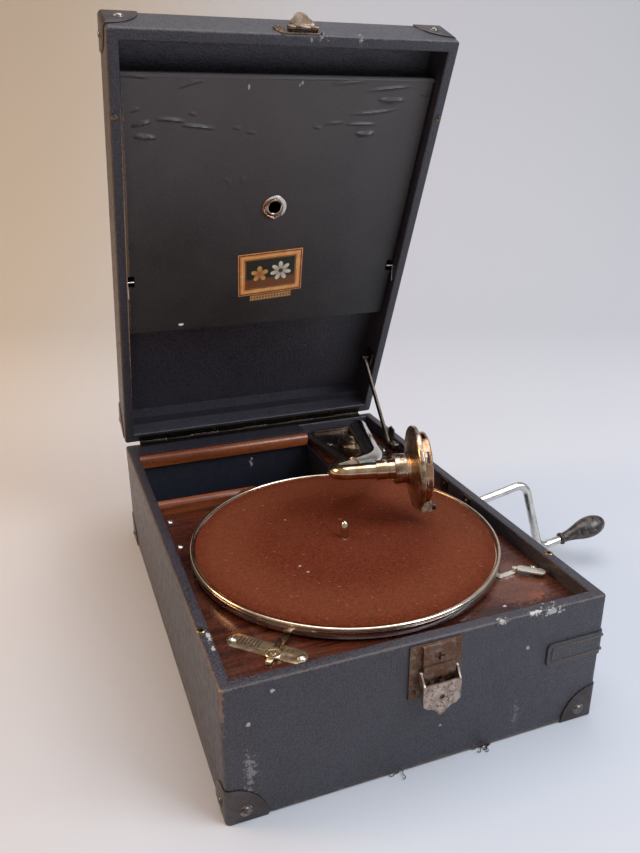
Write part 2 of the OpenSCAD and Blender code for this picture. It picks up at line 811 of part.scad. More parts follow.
module lid_shell() {
    color(cloth_black) lid_frame() difference() {
        union() {
            difference() {
                translate([0, 0, lid_z0]) rounded_box(case_w, case_d, lid_h, edge_r);
                block([-in_x, lid_in_front, lid_z0 - 1], [in_x, lid_in_back, ceiling_z]);
            }
            block([-in_x - 1, lid_in_back - 9, lid_z0 + 16], [in_x + 1, lid_in_back + 1, ceiling_z + 1]);
        }
        block([-hinge_half - 1, half_d - 1.1, lid_z0 - 1], [hinge_half + 1, half_d + 1, lid_z0 + 0.6]);
        for (s = [-1, 1]) {
            translate([s * dowel_x, dowel_y, lid_z0 - 1]) cylinder(r = 1.4, h = 7);
            translate([s * (in_x + 1.5), tray_pivot_y, tray_pivot_z]) rod_x(1.5 + play, -2.5, 2.5);
            translate([s * (in_x + 2), clip_pivot[0], clip_pivot[1]]) rod_x(1 + play, -3, 3);
        }
    }
}

module lid_corners() {
    color("#3a3836") lid_frame() corner_leaf(lid_z1 - 32, lid_z1, lid_z1);
}

module lid_studs() {
    color(steel) lid_frame() corner_studs(lid_z1 - 11);
}

module hasp_plate() {
    y = -half_d;
    z = lid_z0;
    color(rust) lid_frame() union() {
        along_y(y - plate_t, y) polygon([[-16, z + 10], [-12, z + 0.5], [19, z + 0.5], [22.5, z + 4],
            [22.5, z + 16], [18, z + 19], [-12, z + 19], [-16, z + 13]]);
        for (s = [-1, 1]) translate([hasp_x + s * 9.2, 0, 0]) {
            translate([0, hasp_pin_y, hasp_pin_z]) rod_x(2, -3.1, 3.1);
            block([-3.1, hasp_pin_y, hasp_pin_z - 1], [3.1, y - plate_t + 0.1, hasp_pin_z + 1]);
        }
        translate([hasp_x, hasp_pin_y, hasp_pin_z]) rod_x(hasp_pin_r, -8, 8);
    }
}

// Domed tongue that folds down over the latch: rest is folded back
module hasp_tongue() {
    place = [hasp_x, hasp_pin_y, hasp_pin_z];
    color("#7d6a5c") lid_frame() translate(place) rotate([hasp_rest, 0, 0]) difference() {
        union() {
            rod_x(2, -5.9, 5.9);
            along_y(-2, -0.6) union() {
                polygon([[-5.9, 0], [5.9, 0], [5.9, -2.3], [10.2, -3], [9.4, -6], [6, -9],
                    [-6, -9], [-9.4, -6], [-10.2, -3], [-5.9, -2.3]]);
                translate([0, -6.4]) circle(6.6);
            }
        }
        rod_x(hasp_pin_r + play, -8, 8);
    }
}

module lid_dowels() {
    color(brass) lid_frame() for (s = [-1, 1]) translate([s * dowel_x, dowel_y, lid_z0 - 2.4]) {
        cylinder(r = 1.4, h = 8);
        translate([0, 0, 1.6]) cylinder(r = 2.6, h = 0.78);
    }
}

module stay_bracket() {
    p = stay_pivot_closed;
    color("#5d4a40") lid_frame() union() {
        block([in_x - 3, p[0] - 8, p[1] - 7], [in_x, p[0] + 8, p[1] + 7]);
        translate([0, p[0], p[1]]) rod_x(stud_r, stay_x - 0.6, in_x - 2.9);
        translate([0, p[0], p[1]]) rod_x(3.6, stay_x - 1.8, stay_x - 0.4);
    }
}

module stay_bar() {
    color("#57483f") difference() {
        union() {
            across(stay_x, stay_x + stay_t) bar_2d(stay_pivot_rest, stud_rest, stay_w);
            across(stay_x, stay_x + stay_t) bar_2d(stud_rest, stay_knob, stay_w - 1);
            translate([0, stud_rest[0], stud_rest[1]]) rod_x(stud_r, stay_x, in_x - 0.5);
            translate([0, stay_knob[0], stay_knob[1]]) rod_x(3.8, stay_x - 4, stay_x + 0.1);
        }
        translate([0, stay_pivot_rest[0], stay_pivot_rest[1]]) rod_x(stud_r + play, stay_x - 2, stay_x + 5);
    }
}

module tray_board() {
    color("#1d1c1f") lid_frame() difference() {
        union() {
            block([-tray_half, tray_front, tray_z], [tray_half, tray_back, tray_z + tray_t]);
            translate([0, tray_pivot_y, tray_pivot_z]) rod_x(1.5, -in_x - 3, in_x + 3);
        }
        translate([0, table_y, tray_z - 1]) cylinder(r = 8, h = tray_t + 2);
        for (s = [-1, 1])
            block([s * 130 - 3.5, clip_tip[0] - 6, tray_z - 1], [s * 130 + 3.5, clip_tip[0] + 6, tray_z + tray_t + 1]);
    }
}

module tray_eyelet() {
    color(nickel) lid_frame() translate([0, table_y, tray_z]) rotate_extrude()
        polygon([[6, tray_t], [8 - touch, tray_t], [8 - touch, -touch], [11.5, -touch], [11, -0.9],
            [6.6, -1.2], [6, -0.8]]);
}

// Sprung clip at one side of the tray: s is -1 on the left and 1 on the right
module tray_clip(s) {
    x = s * (in_x - 0.8);
    color(brass) lid_frame() union() {
        across(x - 0.35, x + 0.35) bar_2d(clip_pivot, clip_tip, 3);
        translate([0, clip_pivot[0], clip_pivot[1]]) rod_x(1, min(x, x + s * 5), max(x, x + s * 5));
        translate([0, clip_tip[0], clip_tip[1]]) rod_x(0.8, min(x, x - s * 6), max(x, x - s * 6));
    }
}

module clip_left() {
    tray_clip(-1);
}

module clip_right() {
    tray_clip(1);
}

// Pressed disc with a skirt and a rolled bright rim
module platter() {
    roll = 1.7;
    rim_z = table_top - roll;
    disc_z = felt_top - felt_t - disc_t;
    color(nickel) translate([0, table_y, 0]) rotate_extrude() difference() {
        union() {
            translate([0, disc_z]) square([table_r - roll, disc_t]);
            translate([table_r - 2.2, skirt_z]) square([1.8, rim_z - skirt_z]);
            translate([table_r - roll, rim_z]) circle(roll);
            translate([0, 95]) square([10, disc_z + 0.5 - 95]);
        }
        square([shaft_r + touch, 120]);
    }
}

module felt_mat() {
    color(felt_brown) translate([0, table_y, felt_top - felt_t]) linear_extrude(felt_t) difference() {
        circle(felt_r);
        circle(shaft_r + 0.1);
    }
}

// Spindle with the gears pinned to it: it carries the platter and stands up through the record
module spindle() {
    nose = 4;
    color(nickel) translate([0, table_y, 0]) union() {
        translate([0, 0, plate_lo - 1]) cylinder(r = shaft_r, h = felt_top - plate_lo + 1);
        translate([0, 0, felt_top - 0.1]) cylinder(r = spindle_r, h = spindle_tip - nose - felt_top + 0.1);
        translate([0, 0, spindle_tip - nose]) rotate_extrude()
            polygon(concat([[0, 0]], [for (a = [0:10:90]) [spindle_r * cos(a), nose * sin(a)]]));
        translate([0, 0, mid_wheel_z - 0.5])
            spur_gear(spindle_pinion_teeth, mid_module, wheel_t + 1,
                mesh_turn(mid_teeth, spindle_pinion_teeth, 0, mid_to_spindle));
        translate([0, 0, drive_wheel_z]) spur_gear(governor_drive_teeth, governor_module, wheel_t, 0);
        translate([0, 0, drive_wheel_z - 2]) cylinder(r = 8, h = 2.1);
    }
}

module spring_barrel() {
    color(steel) translate([barrel_x, crank_y, 0]) difference() {
        union() {
            translate([0, 0, barrel_z0]) cylinder(r = drum_r, h = barrel_z1 - barrel_z0);
            translate([0, 0, barrel_z0]) spur_gear(barrel_teeth, train_module, great_wheel_t, 0);
        }
        translate([0, 0, barrel_z0 + 1.5]) cylinder(r = drum_r - 1.5, h = barrel_z1 - barrel_z0 - 3);
        translate([0, 0, barrel_z0 - 1]) cylinder(r = shaft_r + play, h = barrel_z1 - barrel_z0 + 2);
    }
}

// The coiled mainspring, as one spiral band inside the barrel
module mainspring() {
    turns = 9;
    pitch = 1.9;
    band = 0.7;
    steps = 36;
    r0 = drum_r - 2.4 - turns * pitch;
    spiral = [for (i = [0:turns * steps])
        (r0 + pitch * i / steps) * [cos(360 * i / steps), sin(360 * i / steps)]];
    inner = [for (i = [turns * steps:-1:0])
        (r0 + pitch * i / steps - band) * [cos(360 * i / steps), sin(360 * i / steps)]];
    color("#5f6468") translate([barrel_x, crank_y, barrel_z0 + 2]) linear_extrude(barrel_z1 - barrel_z0 - 4)
        polygon(concat(spiral, inner));
}

module winding_arbor() {
    color(steel) translate([barrel_x, crank_y, 0]) union() {
        translate([0, 0, plate_lo - 1]) cylinder(r = shaft_r, h = plate_hi + motor_t - plate_lo + 1);
        translate([0, 0, apex_z]) mirror([0, 0, 1])
            bevel_gear(bevel_wheel_teeth, bevel_module, wheel_cone, 12, apex_z - barrel_z1 - 0.5, 0);
    }
}

module intermediate_gear() {
    color(brass) translate([mid_pos[0], mid_pos[1], 0]) union() {
        translate([0, 0, plate_lo - 1]) cylinder(r = small_shaft_r, h = plate_hi + motor_t - plate_lo + 2);
        translate([0, 0, barrel_z0 - 0.5])
            spur_gear(mid_pinion_teeth, train_module, great_wheel_t + 1,
                mesh_turn(barrel_teeth, mid_pinion_teeth, 0, to_mid));
        translate([0, 0, mid_wheel_z]) spur_gear(mid_teeth, mid_module, wheel_t, 0);
        translate([0, 0, mid_wheel_z - 3]) cylinder(r = 6, h = 3.1);
    }
}

module governor_shaft() {
    color(steel) translate([governor_pos[0], governor_pos[1], 0]) union() {
        translate([0, 0, plate_lo - 1]) cylinder(r = thin_shaft_r, h = plate_hi + motor_t - plate_lo + 2);
        translate([0, 0, drive_wheel_z - 0.5])
            spur_gear(governor_pinion_teeth, governor_module, wheel_t + 1,
                mesh_turn(governor_drive_teeth, governor_pinion_teeth, 0, governor_bearing));
        translate([0, 0, 47]) cylinder(r = 5, h = 5);
        translate([0, 0, 49]) cylinder(r = disc_r, h = 1.6);
        translate([0, 0, 24]) cylinder(r = 5, h = 5);
    }
}

// Three weights on leaf springs between the governor's collars
module governor_weights() {
    color(brass) translate([governor_pos[0], governor_pos[1], 0]) for (a = [0, 120, 240]) rotate(a) {
        translate([10, 0, 38]) sphere(4.5);
        along_y(-2.5, 2.5) polygon([[5 + touch, 25], [5 + touch, 28], [8.8, 36], [8.8, 40], [5 + touch, 48],
            [5 + touch, 51 - 2.2], [5.7, 48.2], [9.4, 40.2], [9.4, 35.8], [5.7, 27.8], [5.7, 25]]);
    }
}

// Lever with a felt pad beside the governor's disc, its other arm moved by the regulator's finger
module governor_brake() {
    gap = disc_r + 1.6;
    away = norm(governor_pos - brake_post);
    toward = bearing_of(brake_post, governor_pos) - asin(gap / away);
    reach = sqrt(away * away - gap * gap);
    z = 48.5;
    color(steel) difference() {
        translate([brake_post[0], brake_post[1], 0]) union() {
            translate([0, 0, z]) cylinder(r = 4.5, h = 6);
            translate([0, 0, z]) rotate(toward) linear_extrude(2) bar_2d([0, 0], [reach, -3], 4);
            translate([0, 0, z - 1.5]) rotate(toward) translate([reach - 3, -2.9, 0]) cube([6, 2.9, 5]);
            translate([0, 0, z]) linear_extrude(2) bar_2d([0, 0], brake_pin, 4);
            translate([brake_pin[0], brake_pin[1], z]) cylinder(r = 1.5, h = 4.5);
        }
        translate([brake_post[0], brake_post[1], 40]) cylinder(r = 2 + play, h = 20);
    }
}

// Regulator: knob and pointer above the board, shaft and cam finger below it
module speed_lever() {
    z = board_top + 0.8;
    color("#b5a592") translate([regulator_at[0], regulator_at[1], 0]) union() {
        translate([0, 0, 50]) cylinder(r = 2, h = z + 0.1 - 50);
        translate([0, 0, z]) linear_extrude(0.7) rotate(regulator_turn) union() {
            translate([-9, 0]) circle(2.2);
            translate([-9, -2.2]) square([9, 4.4]);
            translate([0, -3]) square([35, 6]);
        }
        translate([0, 0, z]) rotate_extrude() polygon([[0, 0], [5.9, 0], [5.9, 1.5], [5.3, 2], [4.4, 2], [4, 1.2],
            [2.1, 1.2], [1.6, 2], [0, 2]]);
        translate([0, 0, 51]) rotate(finger_turn) translate([-3, -2, 0]) cube([finger_l + 3, 4, 2]);
    }
}

// Brake: a strip with a felt pad inside the skirt and a raised oval finger plate
module brake_lever() {
    color("#cfc9bc") translate([brake_at[0], brake_at[1], board_top]) union() {
        translate([0, 0, -6]) cylinder(r = 2, h = 7);
        translate([0, 0, 0.3]) linear_extrude(1.2) union() {
            bar_2d([0, 0], [9.5, -19], 5);
            bar_2d([9.5, -19], [24, -17], 4);
            circle(5);
            bar_2d([0, 0], [10, 4], 5);
        }
        translate([24, -17, 0.3]) cylinder(r = 2, h = 4.5);
        translate([34, -24.5, 3.6]) rotate(-40) linear_extrude(1.2) union() {
            rounded_rect(22, 8, 3.9);
        }
    }
}

// A tube from p to q with a ball at each end
module ball_tube(p, q, r0, r1) {
    cone_between(p, q, r0 - 0.03, r1 - 0.03);
    translate(p) sphere(r0);
    translate(q) sphere(r1);
}

// Arm: journal and flared post, elbow, tube and a short branch for the swan neck
module tone_arm() {
    z = board_top + plate_t + 0.2;
    wall = 1.5;
    color(nickel) difference() {
        union() {
            arm_frame() {
                translate([0, 0, z]) cylinder(r = journal_r, h = 6.2);
                cone_between([0, 0, z + 6.1], elbow, journal_r - 0.6, arm_r0 - 0.3);
                ball_tube(elbow, bend_at, arm_r0, arm_r1);
            }
            neck_frame() {
                rod_x(branch_r, joint_at, -1);
                translate([-1, 0, 0]) sphere(branch_r + 0.05);
            }
        }
        arm_frame() {
            translate([0, 0, z - 1]) cylinder(r = journal_r - 2.5, h = 8);
            cone_between([0, 0, z + 6], elbow, journal_r - 3.2, arm_r0 - wall - 0.3);
            ball_tube(elbow, bend_at, arm_r0 - wall, arm_r1 - wall);
        }
        neck_frame() rod_x(bore_r, joint_at - 1, -2);
    }
}

module turned_x() {
    rotate([0, 90, 0]) rotate_extrude() children();
}

// Swan neck that turns in the arm's branch and carries the soundbox
module gooseneck() {
    hub = neck_leg - 5.02;
    hub_r = 8.3;
    spigot = joint_at + 9;
    color(nickel) {
        neck_frame() {
            turned_x() polygon([[neck_bore, neck_straight], [neck_r, neck_straight], [neck_r, joint_at - 0.3],
                [bore_r - 0.05, joint_at - 0.3], [bore_r - 0.05, spigot], [neck_bore, spigot]]);
            translate([neck_straight, -neck_bend, 0]) rotate(90) rotate_extrude(angle = neck_angle)
                translate([neck_bend, 0]) tube_2d(neck_r, neck_r - neck_bore);
        }
        leg_frame() turned_x() {
            polygon([[neck_bore, 0.05], [neck_r, 0.05], [neck_r, 6], [leg_r, 14], [leg_r, 22], [hub_r, 22.2],
                [hub_r, 31], [7.7, 31.2], [7.7, 32.6], [hub_r, 32.8], [hub_r, hub], [neck_bore, hub]]);
            translate([neck_bore + 0.5, -0.7]) square([neck_r - neck_bore - 0.38, 1.4]);
        }
    }
}

// Dished back plate and rim, with the hub that clamps on the swan neck
module soundbox_case() {
    r = soundbox_r;
    color(nickel) soundbox_frame() turned_x() polygon([
        [8.36, -15.5], [12.6, -15.5], [12.6, -6], [14.5, -3.4], [20, -1.6], [r - 4, 0.2], [r - 1, 0], [r, 0.9],
        [r, rim_face - 0.6], [r - 0.7, rim_face], [ring_r - 2.4, rim_face], [ring_r - 3, 2.6], [14, 0.4],
        [neck_bore, -1], [neck_bore, -5], [8.36, -5]
    ]);
}

// Guard ring on the face of the soundbox, with slots round its wall
module soundbox_ring() {
    slots = 8;
    wall = 2.4;
    color(copper) soundbox_frame() difference() {
        turned_x() polygon([
            [ring_r - wall, rim_face + touch], [ring_r, rim_face + touch], [ring_r, ring_face - 1],
            [ring_r - 1, ring_face], [19, ring_face], [19, ring_face - 1.5], [ring_r - wall, ring_face - 1.5]
        ]);
        for (i = [0:slots - 1]) rotate([i * 360 / slots + 22.5, 0, 0])
            block([6.8, -4.8, ring_r - wall - 1], [9.4, 4.8, ring_r + 1]);
    }
}

module diaphragm() {
    color("#b9bcc0") soundbox_frame() rod_x(ring_r - 2.5, rim_face + touch, rim_face + touch + foil_t);
}

// Needle bar: boss on the diaphragm, bar over the guard ring and the clamp block below it
module needle_bar() {
    back = rim_face + 0.6;
    front = ring_face + 0.6;
    color(steel) soundbox_frame() difference() {
        union() {
            rod_x(2.2, rim_face + touch + foil_t, front + 1.9);
            block([front, -2, -clamp_top - 2], [front + 1.9, 2, 0]);
            block([back, -3.6, -clamp_top - clamp_h], [front + 1.9, 3.6, -clamp_top]);
        }
        translate([clamp_x, 0, -clamp_top - clamp_h - 1]) cylinder(r = needle_r, h = 8);
        translate([0, 0, -clamp_top - 3.8]) rod_x(needle_screw_r + play, clamp_x + 0.5, front + 3);
    }
}

module needle_screw() {
    front = ring_face + 2.5;
    color("#4a4440") soundbox_frame() translate([0, 0, -clamp_top - 3.8]) union() {
        rod_x(needle_screw_r, clamp_x + 0.9, front + 0.4);
        rod_x(3, front + 0.3, front + 3.6);
    }
}

module crank_rod() {
    color(nickel) {
        crank_arm_frame() {
            rod_x(crank_r, -apex_back + 22 - crank_shaft_l, -crank_bend);
            translate([-crank_bend, 0, -crank_bend]) rotate([90, 0, 0]) quarter_bend(crank_bend, crank_r);
            translate([0, 0, -crank_throw + crank_bend]) cylinder(r = crank_r, h = crank_throw - 2 * crank_bend);
            translate([crank_bend, 0, -crank_throw + crank_bend]) rotate([90, 0, 0]) rotate(180)
                quarter_bend(crank_bend, crank_r);
            translate([0, 0, -crank_throw]) {
                rod_x(crank_r, crank_bend, grip_start - crank_shaft_l - 0.3);
                rod_x(grip_pin_r, grip_start - crank_shaft_l - 1, grip_start - crank_shaft_l + grip_l - 9);
            }
        }
    }
}

module crank_grip() {
    neck = 4.9;
    tail = 36;
    color("#3c302c") crank_arm_frame() translate([grip_start - crank_shaft_l, 0, -crank_throw]) difference() {
        turned_x() polygon(concat(
            [[0, 0], [5.6, 0], [6.2, 1.2], [5.8, 2.6], [neck, 4]],
            [for (i = [1:8]) [neck + (grip_r - neck) * smooth(i / 8), 4 + (tail - 4) * i / 8]],
            [for (a = [15:15:90]) [grip_r * cos(a), tail + (grip_l - tail) * sin(a)]]
        ));
        rod_x(grip_pin_r + play, -1, grip_l - 8.5);
    }
}

module winding_pinion() {
    color(brass) crank_frame() translate([-apex_back, 0, 0]) rotate([0, 90, 0]) difference() {
        bevel_gear(bevel_pinion_teeth, bevel_module, pinion_cone, 7, 30, pinion_phase());
        translate([0, 0, 21.9]) cylinder(r = crank_r + touch, h = 20);
    }
}

// The pinion's tooth space faces the wheel's tooth where the two cones touch
function pinion_phase() = 180 / bevel_pinion_teeth;

case_shell();
motor_board();
mouth_mouldings();
horn_duct();
horn_throat();
arm_plate();
arm_bearing();
carry_band();
handle_loops();
base_corners();
base_studs();
base_hinge_leaf();
hinge_pins();
latch_plate();
rim_sockets();
stay_rail();
crank_clips();
crank_bush();
speed_scale();
board_screws();
motor_top_plate();
motor_bottom_plate();
motor_pillars();
lid_shell();
lid_corners();
lid_studs();
lid_hinge_leaf();
hasp_plate();
lid_dowels();
stay_bracket();
stay_bar();
hasp_tongue();
latch_lever();
tray_board();
tray_eyelet();
clip_left();
clip_right();
platter();
felt_mat();
spindle();
spring_barrel();
mainspring();
winding_arbor();
intermediate_gear();
governor_shaft();
governor_weights();
governor_brake();
crank_rod();
winding_pinion();
crank_grip();
speed_lever();
brake_lever();
tone_arm();
gooseneck();
soundbox_case();
soundbox_ring();
diaphragm();
needle_bar();
needle_screw();
carry_handle();
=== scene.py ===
import logging
import math
import random
from dataclasses import dataclass, replace
from enum import Enum
from functools import cache
from typing import Iterable, Optional, Sequence, Union

import bmesh
import bpy
from mathutils import Euler, Matrix, Vector


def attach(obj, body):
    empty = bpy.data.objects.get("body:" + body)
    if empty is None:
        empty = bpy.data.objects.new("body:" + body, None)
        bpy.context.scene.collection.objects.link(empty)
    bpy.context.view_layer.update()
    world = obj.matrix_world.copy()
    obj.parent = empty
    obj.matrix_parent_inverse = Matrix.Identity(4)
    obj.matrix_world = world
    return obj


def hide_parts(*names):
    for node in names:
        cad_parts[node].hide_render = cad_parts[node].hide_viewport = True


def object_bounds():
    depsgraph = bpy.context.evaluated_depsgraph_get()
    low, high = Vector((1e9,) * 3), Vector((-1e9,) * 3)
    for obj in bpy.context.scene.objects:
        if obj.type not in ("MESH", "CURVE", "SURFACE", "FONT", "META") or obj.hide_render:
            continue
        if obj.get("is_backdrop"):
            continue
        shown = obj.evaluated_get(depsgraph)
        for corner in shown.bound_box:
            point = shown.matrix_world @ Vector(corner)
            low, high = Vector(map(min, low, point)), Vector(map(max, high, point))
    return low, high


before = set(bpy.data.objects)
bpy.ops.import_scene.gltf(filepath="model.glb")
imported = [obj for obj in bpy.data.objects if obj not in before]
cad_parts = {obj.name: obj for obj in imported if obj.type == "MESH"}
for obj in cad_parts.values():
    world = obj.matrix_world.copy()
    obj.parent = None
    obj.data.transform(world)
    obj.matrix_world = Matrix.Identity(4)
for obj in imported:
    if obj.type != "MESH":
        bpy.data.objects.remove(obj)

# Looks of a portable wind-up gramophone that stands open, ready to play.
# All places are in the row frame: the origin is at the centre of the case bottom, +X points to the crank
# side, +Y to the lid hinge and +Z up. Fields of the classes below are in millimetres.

LOG = logging.getLogger("gramophone")
MM = 0.001

Socket = bpy.types.NodeSocket
Node = bpy.types.Node
Tree = bpy.types.NodeTree
Thing = bpy.types.Object
Colour = tuple[float, float, float]
Point = tuple[float, float, float]
Place = tuple[float, float]
Input = Union[float, Sequence[float], Socket]
ORIGIN: Point = (0, 0, 0)


class Join(Enum):
    """Ways of joining solids, with Blender's names for them."""

    ADD = "UNION"
    CUT = "DIFFERENCE"


class Graph:
    """One node tree, with short ways to add and join its nodes."""

    def __init__(self, tree: Tree) -> None:
        """Keeps the tree that the nodes go in."""
        self.tree = tree

    def node(self, kind: str, **settings: object) -> Node:
        """Adds a node.

        Args:
            kind: Blender's name of the node type.
            **settings: properties to set on it.

        Returns:
            The new node.
        """
        made = self.tree.nodes.new(kind)
        for name, value in settings.items():
            setattr(made, name, value)
        return made

    def put(self, socket: Socket, value: Input) -> None:
        """Links a socket into another, or sets its own value.

        Args:
            socket: the input to fill.
            value: an output socket, a number or a sequence.
        """
        if isinstance(value, Socket):
            self.tree.links.new(value, socket)
            return
        wide = hasattr(socket.default_value, "__len__")
        if wide and isinstance(value, (int, float)):
            value = [value] * len(socket.default_value)
        elif wide and len(value) == 3 and len(socket.default_value) == 4:
            value = (*value, 1.0)
        socket.default_value = value

    def fill(self, node: Node, **values: Input) -> Node:
        """Fills a node's inputs.

        Args:
            node: the node.
            **values: its inputs by name, with _ for a space.

        Returns:
            The same node.
        """
        for name, value in values.items():
            self.put(node.inputs[name.replace("_", " ")], value)
        return node

    def math(self, operation: str, *values: Input, clamp: bool = False) -> Socket:
        """One number from others.

        Args:
            operation: name of the Math node's operation.
            *values: its inputs.
            clamp: keeps the result from 0 to 1.

        Returns:
            The result's socket.
        """
        made = self.node("ShaderNodeMath", operation=operation, use_clamp=clamp)
        for socket, value in zip(made.inputs, values):
            self.put(socket, value)
        return made.outputs[0]

    def add(self, first: Input, second: Input) -> Socket:
        """The first number plus the second."""
        return self.math("ADD", first, second)

    def sub(self, first: Input, second: Input, clamp: bool = False) -> Socket:
        """The first number minus the second, which clamp keeps from 0 to 1."""
        return self.math("SUBTRACT", first, second, clamp=clamp)

    def mul(self, first: Input, second: Input, clamp: bool = False) -> Socket:
        """The first number times the second, which clamp keeps from 0 to 1."""
        return self.math("MULTIPLY", first, second, clamp=clamp)

    def vector(self, operation: str, *values: Input) -> Socket:
        """One vector from others.

        Args:
            operation: name of the Vector Math node's operation.
            *values: its inputs, in order.

        Returns:
            The vector's socket, or the number's for a length.
        """
        made = self.node("ShaderNodeVectorMath", operation=operation)
        for socket, value in zip(made.inputs, values):
            self.put(socket, value)
        return made.outputs["Value" if operation == "LENGTH" else "Vector"]

    def times(self, at: Input, factor: Input) -> Socket:
        """A vector times a number, both of which may be sockets."""
        made = self.node("ShaderNodeVectorMath", operation="SCALE")
        return self.fill(made, Vector=at, Scale=factor).outputs[0]

    def axes(self, at: Input) -> Sequence[Socket]:
        """The three numbers of a vector."""
        return self.fill(self.node("ShaderNodeSeparateXYZ"), Vector=at).outputs

    def flat(self, x: Input, y: Input) -> Socket:
        """A vector from two numbers, with a Z of 0."""
        return self.fill(self.node("ShaderNodeCombineXYZ"), X=x, Y=y).outputs[0]

    def mix(self, amount: Input, first: Input, second: Input) -> Socket:
        """A colour between two others.

        Args:
            amount: 0 gives the first and 1 the second.
            first: a colour.
            second: a colour.

        Returns:
            The colour's socket.
        """
        made = self.node("ShaderNodeMix", data_type="RGBA")
        for index, value in ((0, amount), (6, first), (7, second)):
            self.put(made.inputs[index], value)
        return made.outputs[2]

    def lay(self, mask: Input, share: Input, below: Input, above: Input) -> Socket:
        """Lays a share of a colour over another where a mask is."""
        return self.mix(self.mul(mask, share), below, above)

    def between(self, amount: Input, first: Input, second: Input) -> Socket:
        """A number between two others.

        Args:
            amount: 0 gives the first and 1 the second.
            first: a number.
            second: a number.

        Returns:
            The number's socket.
        """
        made = self.node("ShaderNodeMix", data_type="FLOAT")
        for index, value in ((0, amount), (2, first), (3, second)):
            self.put(made.inputs[index], value)
        return made.outputs[0]

    def step(self, value: Input, low: float, high: float) -> Socket:
        """A smooth step from 0 at low to 1 at high, or from 1 down to 0 where low is above high.

        Args:
            value: the number to map.
            low: where the step starts.
            high: where it ends.

        Returns:
            The mapped number's socket.
        """
        made = self.node("ShaderNodeMapRange", interpolation_type="SMOOTHSTEP")
        start, end = (0.0, 1.0) if low < high else (1.0, 0.0)
        first, last = sorted((low, high))
        self.fill(made, Value=value, From_Min=first, From_Max=last, To_Min=start, To_Max=end)
        return made.outputs["Result"]

    def noise(self, at: Input, size: float, detail: float = 3.0, rough: float = 0.55,
              twist: float = 0.0) -> Socket:
        """Soft noise.

        Args:
            at: the coordinates.
            size: size of its largest blobs, in the coordinates' units.
            detail: number of finer layers.
            rough: strength of the finer layers.
            twist: distortion.

        Returns:
            Its value from 0 to 1.
        """
        made = self.node("ShaderNodeTexNoise")
        self.fill(made, Vector=at, Scale=1.0 / size, Detail=detail, Roughness=rough, Distortion=twist)
        return made.outputs["Fac"]

    def noise_colour(self, at: Input, size: float) -> Socket:
        """Three soft noises as one colour, around a half."""
        return self.fill(self.node("ShaderNodeTexNoise"), Vector=at, Scale=1.0 / size).outputs["Color"]

    def cells(self, at: Input, size: float, feature: str = "F1") -> Node:
        """Voronoi cells, with Blender's name of the distance that they give."""
        return self.fill(self.node("ShaderNodeTexVoronoi", feature=feature), Vector=at, Scale=1.0 / size)

    def place(self, at: Input, move: Point = (0, 0, 0), turn: Point = (0, 0, 0),
              stretch: Point = (1, 1, 1)) -> Socket:
        """Coordinates in a frame of a piece's own.

        Args:
            at: coordinates in metres.
            move: the frame's origin, in metres.
            turn: the frame's turns about X, Y and Z, in degrees.
            stretch: length of the frame's unit along each axis, in metres.

        Returns:
            The coordinates' socket.
        """
        local = self.node("ShaderNodeMapping", vector_type="TEXTURE")
        turns = [math.radians(a) for a in turn]
        return self.fill(local, Vector=at, Location=move, Rotation=turns, Scale=stretch).outputs[0]

    def bump(self, height: Input, distance: float, strength: Input = 1.0,
             below: Optional[Socket] = None) -> Socket:
        """A normal from a height.

        Args:
            height: the height, from 0 to 1.
            distance: what a height of 1 stands for, in metres.
            strength: how much of it shows.
            below: the normal of a coarser bump under this one.

        Returns:
            The normal's socket.
        """
        made = self.fill(self.node("ShaderNodeBump"), Height=height, Strength=strength, Distance=distance)
        if below is not None:
            self.put(made.inputs["Normal"], below)
        return made.outputs[0]

    def use(self, group: Tree, **values: Input) -> dict[str, Socket]:
        """Places a shader group.

        Args:
            group: the group's tree.
            **values: its inputs by name.

        Returns:
            Its output sockets by name.
        """
        made = self.fill(self.node("ShaderNodeGroup", node_tree=group), **values)
        return {socket.name: socket for socket in made.outputs}


